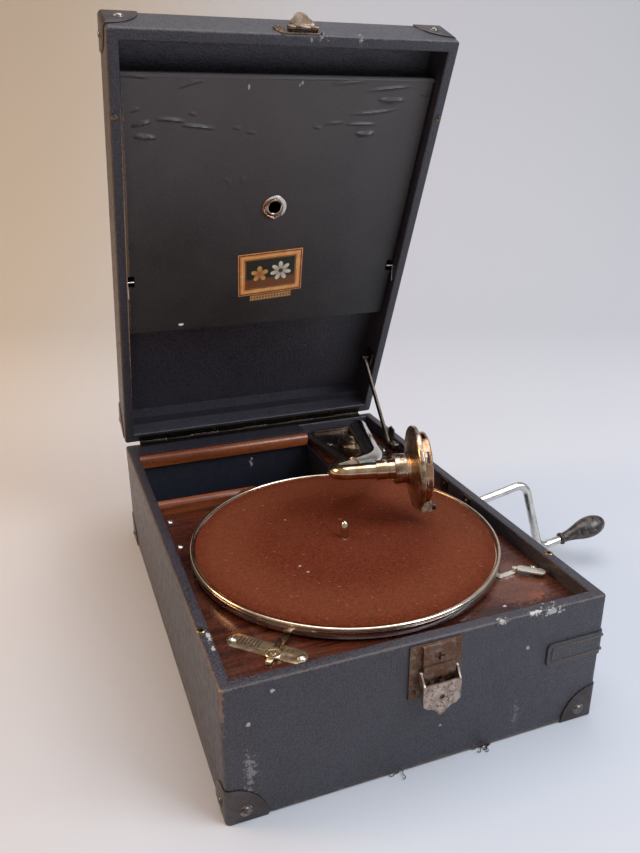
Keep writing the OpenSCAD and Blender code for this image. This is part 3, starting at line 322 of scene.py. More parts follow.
class Effects:
    """Shader groups that several finishes share, each built when it is first asked for."""

    @staticmethod
    def start(name: str, inputs: dict[str, Input], *outputs: str) -> tuple[Graph, dict, dict]:
        """Starts a group.

        Args:
            name: the group's name.
            inputs: default value of each input, where a sequence makes a vector input.
            *outputs: names of its number outputs.

        Returns:
            Its graph, and the sockets of its inputs and of its outputs by name.
        """
        tree = bpy.data.node_groups.new(name, "ShaderNodeTree")
        for label, value in inputs.items():
            kind = "NodeSocketFloat" if isinstance(value, (int, float)) else "NodeSocketVector"
            tree.interface.new_socket(label, in_out="INPUT", socket_type=kind).default_value = value
        for label in outputs:
            tree.interface.new_socket(label, in_out="OUTPUT", socket_type="NodeSocketFloat")
        g = Graph(tree)
        entry, leave = g.node("NodeGroupInput"), g.node("NodeGroupOutput")
        return g, {s.name: s for s in entry.outputs if s.name}, {s.name: s for s in leave.inputs if s.name}

    @staticmethod
    @cache
    def grain() -> Tree:
        """Pebbled grain, with finer pebbles between the large ones.

        Returns:
            The group, with inputs Vector and Fineness in cells per metre, and output Height.
        """
        g, given, out = Effects.start("pebbled_grain", {"Vector": ORIGIN, "Fineness": 1100.0}, "Height")
        spot = g.times(given["Vector"], given["Fineness"])
        stray = g.vector("SUBTRACT", g.noise_colour(spot, 2.0), (0.5, 0.5, 0.5))
        bent = g.vector("ADD", spot, g.times(stray, 0.9))
        pebbles = g.cells(bent, 1.0, "SMOOTH_F1").outputs["Distance"]
        fine = g.cells(spot, 0.43).outputs["Distance"]
        g.put(out["Height"], g.sub(1.0, g.add(g.mul(pebbles, 0.9), g.mul(fine, 0.35)), clamp=True))
        return g.tree

    @staticmethod
    @cache
    def box_wear() -> Tree:
        """Worn edges of a box. The second nearest pair of its faces gives the distance to an edge.

        Returns:
            The group, with inputs Vector from the box's centre, Half size, Width and Ragged, and output Wear.
        """
        sizes = {"Vector": ORIGIN, "Half": (0.1, 0.1, 0.1), "Width": 0.0015, "Ragged": 6.0}
        g, given, out = Effects.start("box_wear", sizes, "Wear")
        x, y, z = g.axes(g.vector("SUBTRACT", given["Half"], g.vector("ABSOLUTE", given["Vector"])))
        edge = g.math("MAXIMUM", g.math("MINIMUM", x, y), g.math("MINIMUM", g.math("MAXIMUM", x, y), z))
        ragged = g.mul(g.sub(g.noise(given["Vector"], 0.009, 5.0, 0.7), 0.47), given["Ragged"])
        g.put(out["Wear"], g.step(g.sub(g.math("DIVIDE", edge, given["Width"]), ragged), 1.0, 0.35))
        return g.tree

    @staticmethod
    @cache
    def specks() -> Tree:
        """Scattered specks, a ragged dot in a few cells of a Voronoi pattern.

        Returns:
            The group, with inputs Vector, Spacing, Share of cells with a speck and Radius, and output Mask.
        """
        sizes = {"Vector": ORIGIN, "Spacing": 0.01, "Share": 0.2, "Radius": 0.12}
        g, given, out = Effects.start("specks", sizes, "Mask")
        spot = g.times(given["Vector"], g.math("DIVIDE", 1.0, given["Spacing"]))
        wobble = g.mul(g.noise(spot, 0.16, 3.0), 0.22)
        cell = g.cells(spot, 1.0)
        chance, spread, _ = g.fill(g.node("ShaderNodeSeparateColor"), Color=cell.outputs["Color"]).outputs
        size = g.mul(given["Radius"], g.add(0.35, spread))
        close = g.sub(g.add(size, 0.1), g.add(cell.outputs["Distance"], wobble))
        g.put(out["Mask"], g.mul(g.math("LESS_THAN", chance, given["Share"]), g.step(close, 0.0, 0.05)))
        return g.tree

    @staticmethod
    @cache
    def scratches() -> Tree:
        """Fine scratches, from noise that is stretched along three directions.

        Returns:
            The group, with inputs Vector, Fineness and Amount, and output Mask.
        """
        sizes = {"Vector": ORIGIN, "Fineness": 900.0, "Amount": 1.0}
        g, given, out = Effects.start("scratches", sizes, "Mask")
        spot = g.times(given["Vector"], given["Fineness"])
        found: Input = 0.0
        for turn in (24.0, -37.0, 81.0):
            local = g.place(spot, turn=(turn, turn * 0.5, turn), stretch=(14.0, 0.5, 0.5))
            found = g.math("MAXIMUM", found, g.step(g.noise(local, 1.0, 2.0, 0.5), 0.70, 0.76))
        broken = g.step(g.noise(spot, 7.0, 2.0), 0.45, 0.62)
        g.put(out["Mask"], g.mul(g.mul(found, broken), given["Amount"]))
        return g.tree

    @staticmethod
    @cache
    def smudges() -> Tree:
        """Handling marks and dull patches, in one broad and one fine layer.

        Returns:
            The group, with inputs Vector and Size, and outputs Broad and Fine.
        """
        g, given, out = Effects.start("smudges", {"Vector": ORIGIN, "Size": 0.04}, "Broad", "Fine")
        spot = g.times(given["Vector"], g.math("DIVIDE", 1.0, given["Size"]))
        g.put(out["Broad"], g.step(g.noise(spot, 1.0, 3.0, 0.5, 0.6), 0.32, 0.68))
        g.put(out["Fine"], g.step(g.noise(spot, 0.12, 4.0, 0.65), 0.35, 0.7))
        return g.tree

    @staticmethod
    @cache
    def mark() -> Tree:
        """One scuff, an ellipsoid that noise makes ragged.

        Returns:
            The group, with inputs Vector, Centre, Reach along each axis and Ragged, and output Mask.
        """
        sizes = {"Vector": ORIGIN, "Centre": ORIGIN, "Reach": (0.01, 0.01, 0.01), "Ragged": 4.0}
        g, given, out = Effects.start("mark", sizes, "Mask")
        away = g.vector("DIVIDE", g.vector("SUBTRACT", given["Vector"], given["Centre"]), given["Reach"])
        torn = g.mul(g.sub(g.noise(given["Vector"], 0.0035, 5.0, 0.75), 0.5), given["Ragged"])
        g.put(out["Mask"], g.step(g.add(g.vector("LENGTH", away), torn), 1.0, 0.75))
        return g.tree

    @staticmethod
    @cache
    def wood() -> Tree:
        """Grain of polished wood along X, of broad bands, fine streaks and short dark pores.

        Returns:
            The group, with inputs Vector and Fineness, and outputs Figure and Pores.
        """
        g, given, out = Effects.start("wood_grain", {"Vector": ORIGIN, "Fineness": 1000.0}, "Figure", "Pores")
        spot = g.times(given["Vector"], given["Fineness"])
        long = g.vector("MULTIPLY", spot, (0.06, 1.0, 1.0))
        bands = g.noise(long, 14.0, 4.0, 0.6, 1.2)
        streaks = g.noise(long, 1.6, 3.0, 0.6)
        g.put(out["Figure"], g.add(g.mul(bands, 0.65), g.mul(streaks, 0.35)))
        short = g.vector("MULTIPLY", spot, (0.09, 1.3, 1.3))
        g.put(out["Pores"], g.step(g.noise(short, 0.8, 1.0), 0.68, 0.78))
        return g.tree


def metres(place: Point) -> Point:
    """A place in metres, from one in millimetres."""
    return tuple(v * MM for v in place)


@dataclass(frozen=True)
class Mark:
    """One scuff, stain or patch of painted reflection: its centre and reach in millimetres, in the piece's
    own frame.
    """

    centre: Point
    reach: Point
    colour: Colour
    amount: float = 0.8
    ragged: float = 4.0


@dataclass(frozen=True)
class Local:
    """Frame of a finish: where its origin is in the row frame, in millimetres, and its turns in degrees."""

    origin: Point = ORIGIN
    turn: Point = ORIGIN

    def read(self, g: Graph) -> Socket:
        """Object coordinates in this frame, in metres."""
        return g.place(g.node("ShaderNodeTexCoord").outputs["Object"], metres(self.origin), self.turn)


@dataclass(frozen=True)
class Finish:
    """What every finish has: a name, a frame and the marks laid over its colour, which are scuffs and stains
    that use has left, and patches of painted reflection.
    """

    name: str
    local: Local = Local()
    marks: tuple[Mark, ...] = ()

    def material(self) -> bpy.types.Material:
        """Gets the material, which is made the first time.

        Returns:
            The material.
        """
        made = bpy.data.materials.get("look_" + self.name)
        if made is None:
            made = bpy.data.materials.new("look_" + self.name)
            made.use_nodes = True
            made.node_tree.nodes.clear()
            g = Graph(made.node_tree)
            shader = g.node("ShaderNodeBsdfPrincipled")
            g.fill(g.node("ShaderNodeOutputMaterial"), Surface=shader.outputs[0])
            self.dress(g, shader, self.local.read(g))
        return made

    def dress(self, g: Graph, shader: Node, at: Socket) -> None:
        """Fills the shader's inputs.

        Args:
            g: the material's graph.
            shader: its Principled shader.
            at: coordinates in the finish's frame.
        """
        raise NotImplementedError

    def marked(self, g: Graph, at: Socket, colour: Input) -> Socket:
        """Lays the marks over a colour.

        Args:
            g: the material's graph.
            at: coordinates in the finish's frame.
            colour: the colour below.

        Returns:
            The marked colour.
        """
        for mark in self.marks:
            mask = g.use(Effects.mark(), Vector=at, Centre=metres(mark.centre), Reach=metres(mark.reach),
                         Ragged=mark.ragged)["Mask"]
            colour = g.lay(mask, mark.amount, colour, mark.colour)
        return colour


@dataclass(frozen=True)
class Leathercloth(Finish):
    """Pebbled cloth on wood, worn to tan at the edges of its box."""

    colour: Colour = (0.012, 0.0105, 0.0145)
    light: Colour = (0.046, 0.041, 0.058)
    worn: Colour = (0.12, 0.085, 0.06)
    fineness: float = 760.0
    relief: float = 0.0004
    half: Optional[Point] = None
    edge: float = 1.1
    ragged: float = 5.0
    scratch: Colour = (0.14, 0.12, 0.10)
    dust: Colour = (0.30, 0.27, 0.24)

    def dress(self, g: Graph, shader: Node, at: Socket) -> None:
        """Grain, dull patches, scratches, specks, worn edges and marks."""
        grain = g.use(Effects.grain(), Vector=at, Fineness=self.fineness)
        dull = g.use(Effects.smudges(), Vector=at, Size=0.055)
        lines = g.use(Effects.scratches(), Vector=at, Fineness=420.0, Amount=0.5)["Mask"]
        dust = g.use(Effects.specks(), Vector=at, Spacing=0.017, Share=0.28, Radius=0.035)["Mask"]
        colour = g.mix(g.step(grain["Height"], 0.2, 0.8), self.colour, self.light)
        colour = g.lay(dull["Broad"], 0.2, colour, self.light)
        colour = g.lay(lines, 0.5, colour, self.scratch)
        colour = g.lay(dust, 0.7, colour, self.dust)
        rough = g.between(dull["Fine"], 0.32, 0.46)
        if self.half is not None:
            wear = g.use(Effects.box_wear(), Vector=at, Half=metres(self.half), Width=self.edge * MM,
                         Ragged=self.ragged)["Wear"]
            colour = g.lay(wear, 0.45, colour, self.worn)
            rough = g.between(wear, rough, 0.6)
        g.fill(shader, Base_Color=self.marked(g, at, colour), Roughness=rough,
               Normal=g.bump(grain["Height"], self.relief), Specular_IOR_Level=0.62)


@dataclass(frozen=True)
class Wood(Finish):
    """Polished wood with figure, pores and a worn shine."""

    dark: Colour = (0.022, 0.005, 0.003)
    light: Colour = (0.095, 0.022, 0.010)
    fineness: float = 1000.0
    shine: float = 0.16
    dusty: float = 0.22
    pore: Colour = (0.012, 0.004, 0.003)
    scratch: Colour = (0.30, 0.16, 0.10)
    dust: Colour = (0.36, 0.27, 0.22)

    def dress(self, g: Graph, shader: Node, at: Socket) -> None:
        """Figure and pores under a varnish with scratches and dust."""
        grain = g.use(Effects.wood(), Vector=at, Fineness=self.fineness)
        dull = g.use(Effects.smudges(), Vector=at, Size=0.03)
        lines = g.use(Effects.scratches(), Vector=at, Fineness=500.0, Amount=1.0)["Mask"]
        dust = g.use(Effects.specks(), Vector=at, Spacing=0.0045, Share=0.35, Radius=0.09)["Mask"]
        colour = g.mix(g.step(grain["Figure"], 0.35, 0.66), self.dark, self.light)
        colour = g.lay(grain["Pores"], 0.6, colour, self.pore)
        colour = g.lay(lines, 0.25, colour, self.scratch)
        colour = g.lay(dust, self.dusty, colour, self.dust)
        height = g.sub(grain["Figure"], grain["Pores"])
        rough = g.between(dull["Fine"], self.shine, self.shine + 0.2)
        g.fill(shader, Base_Color=self.marked(g, at, colour), Roughness=rough,
               Normal=g.bump(height, 0.00004, 0.6), Coat_Weight=0.3, Coat_Roughness=0.22)


@dataclass(frozen=True)
class Metal(Finish):
    """Bare or plated metal with stains, pits, scratches and some rust."""

    colour: Colour = (0.72, 0.66, 0.58)
    stain: Colour = (0.32, 0.24, 0.16)
    rust: Colour = (0.16, 0.075, 0.035)
    polish: float = 0.14
    dull: float = 0.38
    stained: float = 0.5
    rusty: float = 0.1
    scratched: float = 0.6
    patch: float = 12.0

    def dress(self, g: Graph, shader: Node, at: Socket) -> None:
        """Stain and rust follow one pattern, so that pits sit inside stained patches."""
        cloud = g.use(Effects.smudges(), Vector=at, Size=self.patch * MM)
        lines = g.use(Effects.scratches(), Vector=at, Fineness=500.0, Amount=self.scratched)["Mask"]
        pits = g.use(Effects.specks(), Vector=at, Spacing=0.0022, Share=0.5, Radius=0.16)["Mask"]
        spread = g.noise(at, self.patch * MM * 0.6, 5.0, 0.68)
        rust = g.step(spread, 0.74 - self.rusty * 0.42, 0.80 - self.rusty * 0.30)
        pitted = g.mul(pits, g.step(spread, 0.5, 0.68 - self.rusty * 0.1))
        rust = g.math("MAXIMUM", rust, g.mul(pitted, min(1.0, 3.5 * self.rusty)))
        tone = g.mul(g.add(cloud["Broad"], g.mul(cloud["Fine"], 0.5)), self.stained, clamp=True)
        colour = g.mix(tone, self.colour, self.stain)
        colour = g.lay(lines, 0.4, colour, tuple(min(1.0, c * 1.3) for c in self.colour))
        earth = g.mix(cloud["Fine"], self.rust, tuple(c * 0.45 for c in self.rust))
        colour = g.mix(rust, colour, earth)
        bare = g.add(g.between(cloud["Fine"], self.polish, self.dull), g.mul(lines, 0.15))
        height = g.add(g.mul(rust, 0.8), g.mul(lines, -0.2))
        g.fill(shader, Base_Color=self.marked(g, at, colour), Metallic=g.sub(1.0, g.mul(rust, 0.85)),
               Roughness=g.between(rust, bare, 0.8), Normal=g.bump(height, 0.00005, 0.7))


@dataclass(frozen=True)
class Felt(Finish):
    """Matted wool with paler fibres, lint and flattened tracks."""

    dark: Colour = (0.045, 0.007, 0.002)
    light: Colour = (0.175, 0.032, 0.0095)
    patch: Colour = (0.12, 0.026, 0.010)
    track: Colour = (0.34, 0.13, 0.06)
    fuzz: Colour = (0.42, 0.22, 0.13)
    speck: Colour = (0.62, 0.55, 0.48)
    sheen: Colour = (0.8, 0.4, 0.28)

    def dress(self, g: Graph, shader: Node, at: Socket) -> None:
        """Fibre noise in two sizes, soft mottling and fine rings worn by records."""
        wool = g.noise(at, 0.0016, 5.0, 0.75, 1.5)
        tuft = g.noise(at, 0.0055, 4.0, 0.7, 0.8)
        broad = g.noise(at, 0.045, 3.0, 0.6)
        x, y, _ = g.axes(at)
        radius = g.vector("LENGTH", g.flat(x, y))
        worn = g.mul(g.step(radius, 0.060, 0.095), g.step(radius, 0.122, 0.108))
        mixed = g.add(g.mul(wool, 0.85), g.mul(tuft, 0.15))
        colour = g.mix(g.step(mixed, 0.38, 0.62), self.dark, self.light)
        colour = g.lay(g.step(broad, 0.4, 0.62), 0.25, colour, self.patch)
        colour = g.lay(worn, 0.12, colour, self.track)
        fuzz = g.use(Effects.specks(), Vector=at, Spacing=0.004, Share=0.3, Radius=0.06)["Mask"]
        colour = g.lay(fuzz, 0.35, colour, self.fuzz)
        pale = g.use(Effects.specks(), Vector=at, Spacing=0.028, Share=0.3, Radius=0.022)["Mask"]
        colour = g.lay(pale, 0.8, colour, self.speck)
        g.fill(shader, Base_Color=self.marked(g, at, colour), Roughness=0.95, Specular_IOR_Level=0.15,
               Sheen_Weight=0.02, Sheen_Roughness=0.5, Sheen_Tint=self.sheen,
               Normal=g.bump(wool, 0.0009, 1.0, g.bump(tuft, 0.0012, 0.9)))


@dataclass(frozen=True)
class Paint(Finish):
    """Dark paint on sheet metal, with dust and pale chips."""

    colour: Colour = (0.0095, 0.0105, 0.018)
    chips: Colour = (0.42, 0.40, 0.38)
    shine: float = 0.34
    dust: Colour = (0.15, 0.14, 0.14)
    scratch: Colour = (0.2, 0.19, 0.19)

    def dress(self, g: Graph, shader: Node, at: Socket) -> None:
        """Brush marks, dust and chips."""
        cloud = g.use(Effects.smudges(), Vector=at, Size=0.035)
        chips = g.use(Effects.specks(), Vector=at, Spacing=0.012, Share=0.22, Radius=0.05)["Mask"]
        dust = g.use(Effects.specks(), Vector=at, Spacing=0.003, Share=0.5, Radius=0.05)["Mask"]
        lines = g.use(Effects.scratches(), Vector=at, Fineness=500.0, Amount=0.7)["Mask"]
        colour = g.lay(cloud["Broad"], 0.15, self.colour, tuple(c * 1.6 for c in self.colour))
        colour = g.lay(dust, 0.35, colour, self.dust)
        colour = g.lay(lines, 0.25, colour, self.scratch)
        colour = g.lay(chips, 0.8, colour, self.chips)
        g.fill(shader, Base_Color=self.marked(g, at, colour),
               Roughness=g.between(cloud["Fine"], self.shine, self.shine + 0.08),
               Normal=g.bump(g.noise(at, 0.004, 3.0), 0.00006, 0.5))


@dataclass(frozen=True)
class TrayCloth(Finish):
    """Smooth dark bookcloth on the record tray, greyed in patches, with a painted sheen that lightens it
    towards the lid's free edge.
    """

    colour: Colour = (0.007, 0.006, 0.007)
    grey: Colour = (0.052, 0.044, 0.043)
    rub_and_sheen: Colour = (0.095, 0.080, 0.079)
    scratch: Colour = (0.12, 0.10, 0.10)
    dust: Colour = (0.22, 0.20, 0.20)

    def dress(self, g: Graph, shader: Node, at: Socket) -> None:
        """Fine weave, grey bloom, the painted sheen, scratches and specks."""
        spot = g.times(at, 1500.0)
        waves = [g.node("ShaderNodeTexWave", wave_type="BANDS", bands_direction=way) for way in "XY"]
        threads = [g.fill(wave, Vector=spot, Scale=0.35, Distortion=1.2).outputs["Fac"] for wave in waves]
        weave = g.mul(*threads)
        cloud = g.use(Effects.smudges(), Vector=at, Size=0.06)
        # Painted sheen: lighter towards the lid's free edge, the top of the open lid, standing in for the
        # reflection of the light above.
        rub_and_sheen = g.step(g.axes(at)[1], 0.05, -0.19)
        lines = g.use(Effects.scratches(), Vector=at, Fineness=260.0, Amount=0.8)["Mask"]
        dust = g.use(Effects.specks(), Vector=at, Spacing=0.006, Share=0.4, Radius=0.035)["Mask"]
        colour = g.lay(cloud["Broad"], 0.3, self.colour, self.grey)
        fine = g.noise(at, 0.0011, 3.0, 0.7)
        colour = g.lay(weave, 0.3, colour, self.grey)
        colour = g.lay(g.step(fine, 0.42, 0.62), 0.45, colour, self.grey)
        colour = g.lay(rub_and_sheen, 0.5, colour, self.rub_and_sheen)
        colour = g.lay(lines, 0.22, colour, self.scratch)
        colour = g.lay(dust, 0.5, colour, self.dust)
        g.fill(shader, Base_Color=self.marked(g, at, colour), Roughness=g.between(cloud["Fine"], 0.38, 0.48),
               Normal=g.bump(fine, 0.00022, 0.8, g.bump(weave, 0.00005, 0.8)))


@dataclass(frozen=True)
class Marbled(Finish):
    """Dark moulded grip with brown and grey swirls and a worn shine."""

    dark: Colour = (0.010, 0.009, 0.009)
    vein: Colour = (0.12, 0.075, 0.06)
    cloud: Colour = (0.2, 0.16, 0.15)
    scratch: Colour = (0.3, 0.27, 0.25)

    def dress(self, g: Graph, shader: Node, at: Socket) -> None:
        """Two twisted noises give the swirl, and fine scratches dull it."""
        swirl = g.noise(at, 0.014, 5.0, 0.62, 2.6)
        fine = g.noise(at, 0.004, 4.0, 0.6, 1.4)
        lines = g.use(Effects.scratches(), Vector=at, Fineness=900.0, Amount=0.8)["Mask"]
        band = g.mul(g.step(swirl, 0.46, 0.56), g.step(swirl, 0.68, 0.58))
        colour = g.lay(band, 0.8, self.dark, self.vein)
        colour = g.lay(g.step(fine, 0.6, 0.72), 0.3, colour, self.cloud)
        colour = g.lay(lines, 0.35, colour, self.scratch)
        g.fill(shader, Base_Color=self.marked(g, at, colour), Roughness=g.between(fine, 0.24, 0.42),
               Normal=g.bump(fine, 0.00005, 0.4))


@dataclass(frozen=True)
class Flower:
    """A flower of the badge: its centre and reach on the UV map, its petals and their ink, and its core's."""

    centre: Place
    reach: float
    petals: int
    ink: Colour
    core: Colour


@dataclass(frozen=True)
class Badge(Finish):
    """Printed transfer without words: two flowers in a tan frame, drawn on the UV map."""

    wide: float = 1.37
    tans: tuple[Colour, Colour] = ((0.66, 0.22, 0.055), (0.78, 0.38, 0.13))
    lines: tuple[tuple[float, float, Colour], ...] = (
        (0.015, 0.045, (0.10, 0.03, 0.015)), (0.075, 0.10, (0.75, 0.48, 0.20)),
        (0.135, 0.16, (0.08, 0.03, 0.015)))
    ground: tuple[Colour, Colour] = ((0.012, 0.016, 0.011), (0.16, 0.055, 0.02))
    scratch: Colour = (0.06, 0.05, 0.05)
    flowers: tuple[Flower, ...] = (Flower((0.66, 0.52), 0.23, 7, (0.78, 0.70, 0.55), (0.06, 0.03, 0.02)),
                                   Flower((0.33, 0.50), 0.19, 5, (0.70, 0.36, 0.10), (0.45, 0.10, 0.04)))

    def dress(self, g: Graph, shader: Node, at: Socket) -> None:
        """Frame lines, a dark green ground that turns brown below, and the flowers."""
        u, v, _ = g.axes(g.node("ShaderNodeTexCoord").outputs["UV"])
        sides = g.mul(g.math("MINIMUM", u, g.sub(1.0, u)), self.wide)
        edge = g.math("MINIMUM", sides, g.math("MINIMUM", v, g.sub(1.0, v)))
        worn = g.noise(at, 0.006, 4.0, 0.6)
        colour = g.mix(g.step(worn, 0.4, 0.7), *self.tans)
        for low, high, ink in self.lines:
            line = g.mul(g.step(edge, low, low + 0.006), g.step(edge, high, high - 0.006))
            colour = g.mix(line, colour, ink)
        inner = g.mix(g.step(v, 0.42, 0.34), *self.ground)
        for flower in self.flowers:
            x, y = g.mul(g.sub(u, flower.centre[0]), self.wide), g.sub(v, flower.centre[1])
            away = g.vector("LENGTH", g.flat(x, y))
            wave = g.math("ABSOLUTE", g.math("COSINE", g.mul(g.math("ARCTAN2", x, y), flower.petals / 2)))
            rim = g.mul(g.add(0.45, g.mul(wave, 0.55)), flower.reach)
            shade = g.mul(wave, g.math("DIVIDE", away, flower.reach))
            petal = g.mix(shade, tuple(c * 0.4 for c in flower.ink), flower.ink)
            inner = g.mix(g.step(g.sub(rim, away), 0.0, 0.012), inner, petal)
            inner = g.mix(g.step(away, 0.055, 0.045), inner, flower.core)
        colour = g.mix(g.step(edge, 0.158, 0.166), colour, inner)
        rub_and_sheen = g.use(Effects.scratches(), Vector=at, Fineness=900.0, Amount=0.8)["Mask"]
        colour = g.lay(rub_and_sheen, 0.5, colour, self.scratch)
        g.fill(shader, Base_Color=self.marked(g, at, colour), Roughness=0.38,
               Normal=g.bump(worn, 0.00003, 0.4))


@dataclass(frozen=True)
class Plaque(Finish):
    """Narrow cream band below the transfer, with a row of plain lozenges between two lines."""

    lozenges: float = 14.0
    creams: tuple[Colour, Colour] = ((0.36, 0.16, 0.06), (0.55, 0.32, 0.13))
    lozenge: Colour = (0.12, 0.04, 0.02)
    line: Colour = (0.10, 0.04, 0.02)

    def dress(self, g: Graph, shader: Node, at: Socket) -> None:
        """Distances to the middle of each lozenge give its shape, and that to the band's middle the lines."""
        u, v, _ = g.axes(g.node("ShaderNodeTexCoord").outputs["UV"])
        cell = g.math("ABSOLUTE", g.sub(g.math("FRACT", g.mul(u, self.lozenges)), 0.5))
        middle = g.math("ABSOLUTE", g.sub(v, 0.5))
        colour = g.mix(g.noise(at, 0.003), *self.creams)
        colour = g.lay(g.step(g.add(cell, middle), 0.34, 0.28), 0.8, colour, self.lozenge)
        colour = g.lay(g.step(middle, 0.36, 0.40), 0.7, colour, self.line)
        g.fill(shader, Base_Color=colour, Roughness=0.4, Normal=g.bump(g.noise(at, 0.002), 0.00003, 0.4))


@dataclass(frozen=True)
class Plain(Finish):
    """A soft plain finish for lint, thread and small inlays."""

    colour: Colour = (0.3, 0.2, 0.15)
    rough: float = 0.8

    def dress(self, g: Graph, shader: Node, at: Socket) -> None:
        """One colour with fine mottling."""
        speck = g.noise(at, 0.0012, 3.0, 0.6)
        g.fill(shader, Base_Color=g.mix(speck, tuple(c * 0.7 for c in self.colour), self.colour),
               Normal=g.bump(speck, 0.00004, 0.5), Roughness=self.rough)


def frame_at(place: Point = ORIGIN, turns: Point = ORIGIN, base: Optional[Matrix] = None) -> Matrix:
    """A frame in millimetres.

    Args:
        place: its origin in the base frame.
        turns: degrees about X, then Y, then Z.
        base: the frame that it stands in, the row frame if none is given.

    Returns:
        Its matrix.
    """
    spin = Euler([math.radians(a) for a in turns], "XYZ").to_matrix().to_4x4()
    return (base or Matrix.Identity(4)) @ Matrix.Translation(place) @ spin


# Sizes and places that several pieces share, in millimetres.
HALF: Place = (143, 207)
CRANK_AT: Place = (-6, 80)
TABLE_Y = -58
HINGE: Point = (0, 207.6, 107.5)
LID_TURN: Point = (-66.4, 0, 0)
LID = frame_at(HINGE, LID_TURN) @ Matrix.Translation([-v for v in HINGE])
ARM = frame_at((100.5, 150, 0), (0, 0, -12))
NECK = frame_at((-14.2, -141.4, 135.6), (-12, 10.9, 45), ARM)
CRANK = frame_at((HALF[0], *CRANK_AT), (0, -11.6, 0))
TABLE = frame_at((0, TABLE_Y, 0))
SCALE = frame_at((-99.7, -161.7, 94), (0, 0, -43.8))
MIDDLE_Z = 53.25
DOWEL_AT: Place = (139.4, -143)
HINGE_SCREWS_Y = 201.9
HINGE_PITCH = 46.5
LATCH_Y = -208.2
TRAY_PIVOT: Place = (-170.5, 120)
BOARD_TOP = 94

TO_METRES = Matrix.Scale(MM, 4)


def in_lid(x: float, y: float, z: float) -> Local:
    """Frame of a finish on the lid, whose origin is given in the closed lid."""
    return Local(tuple(LID @ Vector((x, y, z))), LID_TURN)


def hoop(centre: Vector, radius: float, side: Vector, up: Vector, count: int) -> list[Vector]:
    """Points of a circle round a centre, from one direction over another that is square to it."""
    angles = (math.tau * k / count for k in range(count))
    return [centre + radius * (side * math.cos(a) + up * math.sin(a)) for a in angles]


class Shape:
    """A mesh under construction, in millimetres, in a frame of its own."""

    def __init__(self, at: Optional[Matrix] = None) -> None:
        """Starts an empty mesh in a frame, the row frame if none is given."""
        self.bm = bmesh.new()
        self.at = at or Matrix.Identity(4)

    def ring(self, points: Iterable[Sequence[float]]) -> list[bmesh.types.BMVert]:
        """Adds a row of vertices."""
        return [self.bm.verts.new(p) for p in points]

    def skin(self, first: list, second: list, closed: bool = True) -> None:
        """Joins two rows of vertices by faces, where either may be a single point.

        Args:
            first: one row.
            second: the next row.
            closed: the rows are loops.
        """
        count = max(len(first), len(second))
        for i in range(count if closed else count - 1):
            j = (i + 1) % count
            corners = [first[i % len(first)], first[j % len(first)],
                       second[j % len(second)], second[i % len(second)]]
            corners = [c for k, c in enumerate(corners) if c not in corners[:k]]
            if len(corners) > 2:
                self.bm.faces.new(corners)

    def loft(self, rings: Sequence[Sequence[Sequence[float]]], wrap: bool = False) -> "Shape":
        """Skins rings of points, with flat ends unless the last ring joins the first.

        Args:
            rings: loops of equal length.
            wrap: joins the last ring to the first.

        Returns:
            The shape itself.
        """
        rows = [self.ring(points) for points in rings]
        for first, second in zip(rows, rows[1:]):
            self.skin(first, second)
        if wrap:
            self.skin(rows[-1], rows[0])
        else:
            self.bm.faces.new(list(reversed(rows[0])))
            self.bm.faces.new(rows[-1])
        return self

    def lathe(self, profile: Sequence[Place], count: int = 96, wrap: bool = True,
              uneven: float = 0.0, seed: int = 1) -> "Shape":
        """Turns an outline about Z.

        Args:
            profile: radius and height of each point.
            count: number of steps round the axis.
            wrap: the outline is a loop, and otherwise its ends lie on the axis.
            uneven: how far radii above 100 stray at random.
            seed: seed of the random strays.

        Returns:
            The shape itself.
        """
        chance = random.Random(seed)
        waves = [(chance.uniform(0.3, 1.0), chance.randint(3, 40), chance.uniform(0, 6.28)) for _ in range(9)]
        rows = []
        for radius, height in profile:
            if radius < 1e-6:
                rows.append(self.ring([(0, 0, height)]))
                continue
            points = []
            for i in range(count):
                a = math.tau * i / count
                stray = uneven * sum(w * math.sin(n * a + p) for w, n, p in waves) / len(waves)
                reach = radius + (stray if radius > 100 else 0)
                points.append((reach * math.cos(a), reach * math.sin(a), height))
            rows.append(self.ring(points))
        for first, second in zip(rows, rows[1:]):
            self.skin(first, second)
        if wrap:
            self.skin(rows[-1], rows[0])
        return self

    def rod(self, radius: float, low: float, high: float, count: int = 24) -> "Shape":
        """Adds a round rod on Z between two heights."""
        return self.lathe([(0, low), (radius, low), (radius, high), (0, high)], count, False)

    def box(self, low: Point, high: Point) -> "Shape":
        """Adds a box.

        Args:
            low: its lowest corner.
            high: its highest corner.

        Returns:
            The shape itself.
        """
        (x, y, bottom), (far_x, far_y, top) = low, high
        corners = ((x, y), (far_x, y), (far_x, far_y), (x, far_y))
        return self.loft([[(*corner, z) for corner in corners] for z in (bottom, top)])

    def tube(self, path: Sequence[Vector], radii: Sequence[float], count: int = 48,
             wrap: bool = False) -> "Shape":
        """Sweeps a circle along a path.

        Args:
            path: centres of the circles.
            radii: radius at each centre.
            count: points round each circle.
            wrap: the path is a loop.

        Returns:
            The shape itself.
        """
        rings = []
        side = None
        total = len(path)
        for i, centre in enumerate(path):
            after = path[(i + 1) % total] if wrap or i + 1 < total else centre
            before = path[i - 1] if wrap or i else centre
            ahead = (after - before).normalized()
            if side is None:
                side = ahead.orthogonal().normalized()
            side = (side - ahead * side.dot(ahead)).normalized()
            rings.append(hoop(centre, radii[i], side, ahead.cross(side), count))
        return self.loft(rings, wrap)

    def emit(self, name: str, sharp: float = 35.0) -> Thing:
        """Ends the mesh and puts it in the scene, at the origin.

        Args:
            name: the object's name.
            sharp: angle in degrees above which an edge stays sharp.

        Returns:
            The object.
        """
        self.bm.transform(TO_METRES @ self.at)
        mesh = bpy.data.meshes.new(name)
        close_mesh(self.bm, mesh, sharp)
        return stand(name, mesh)


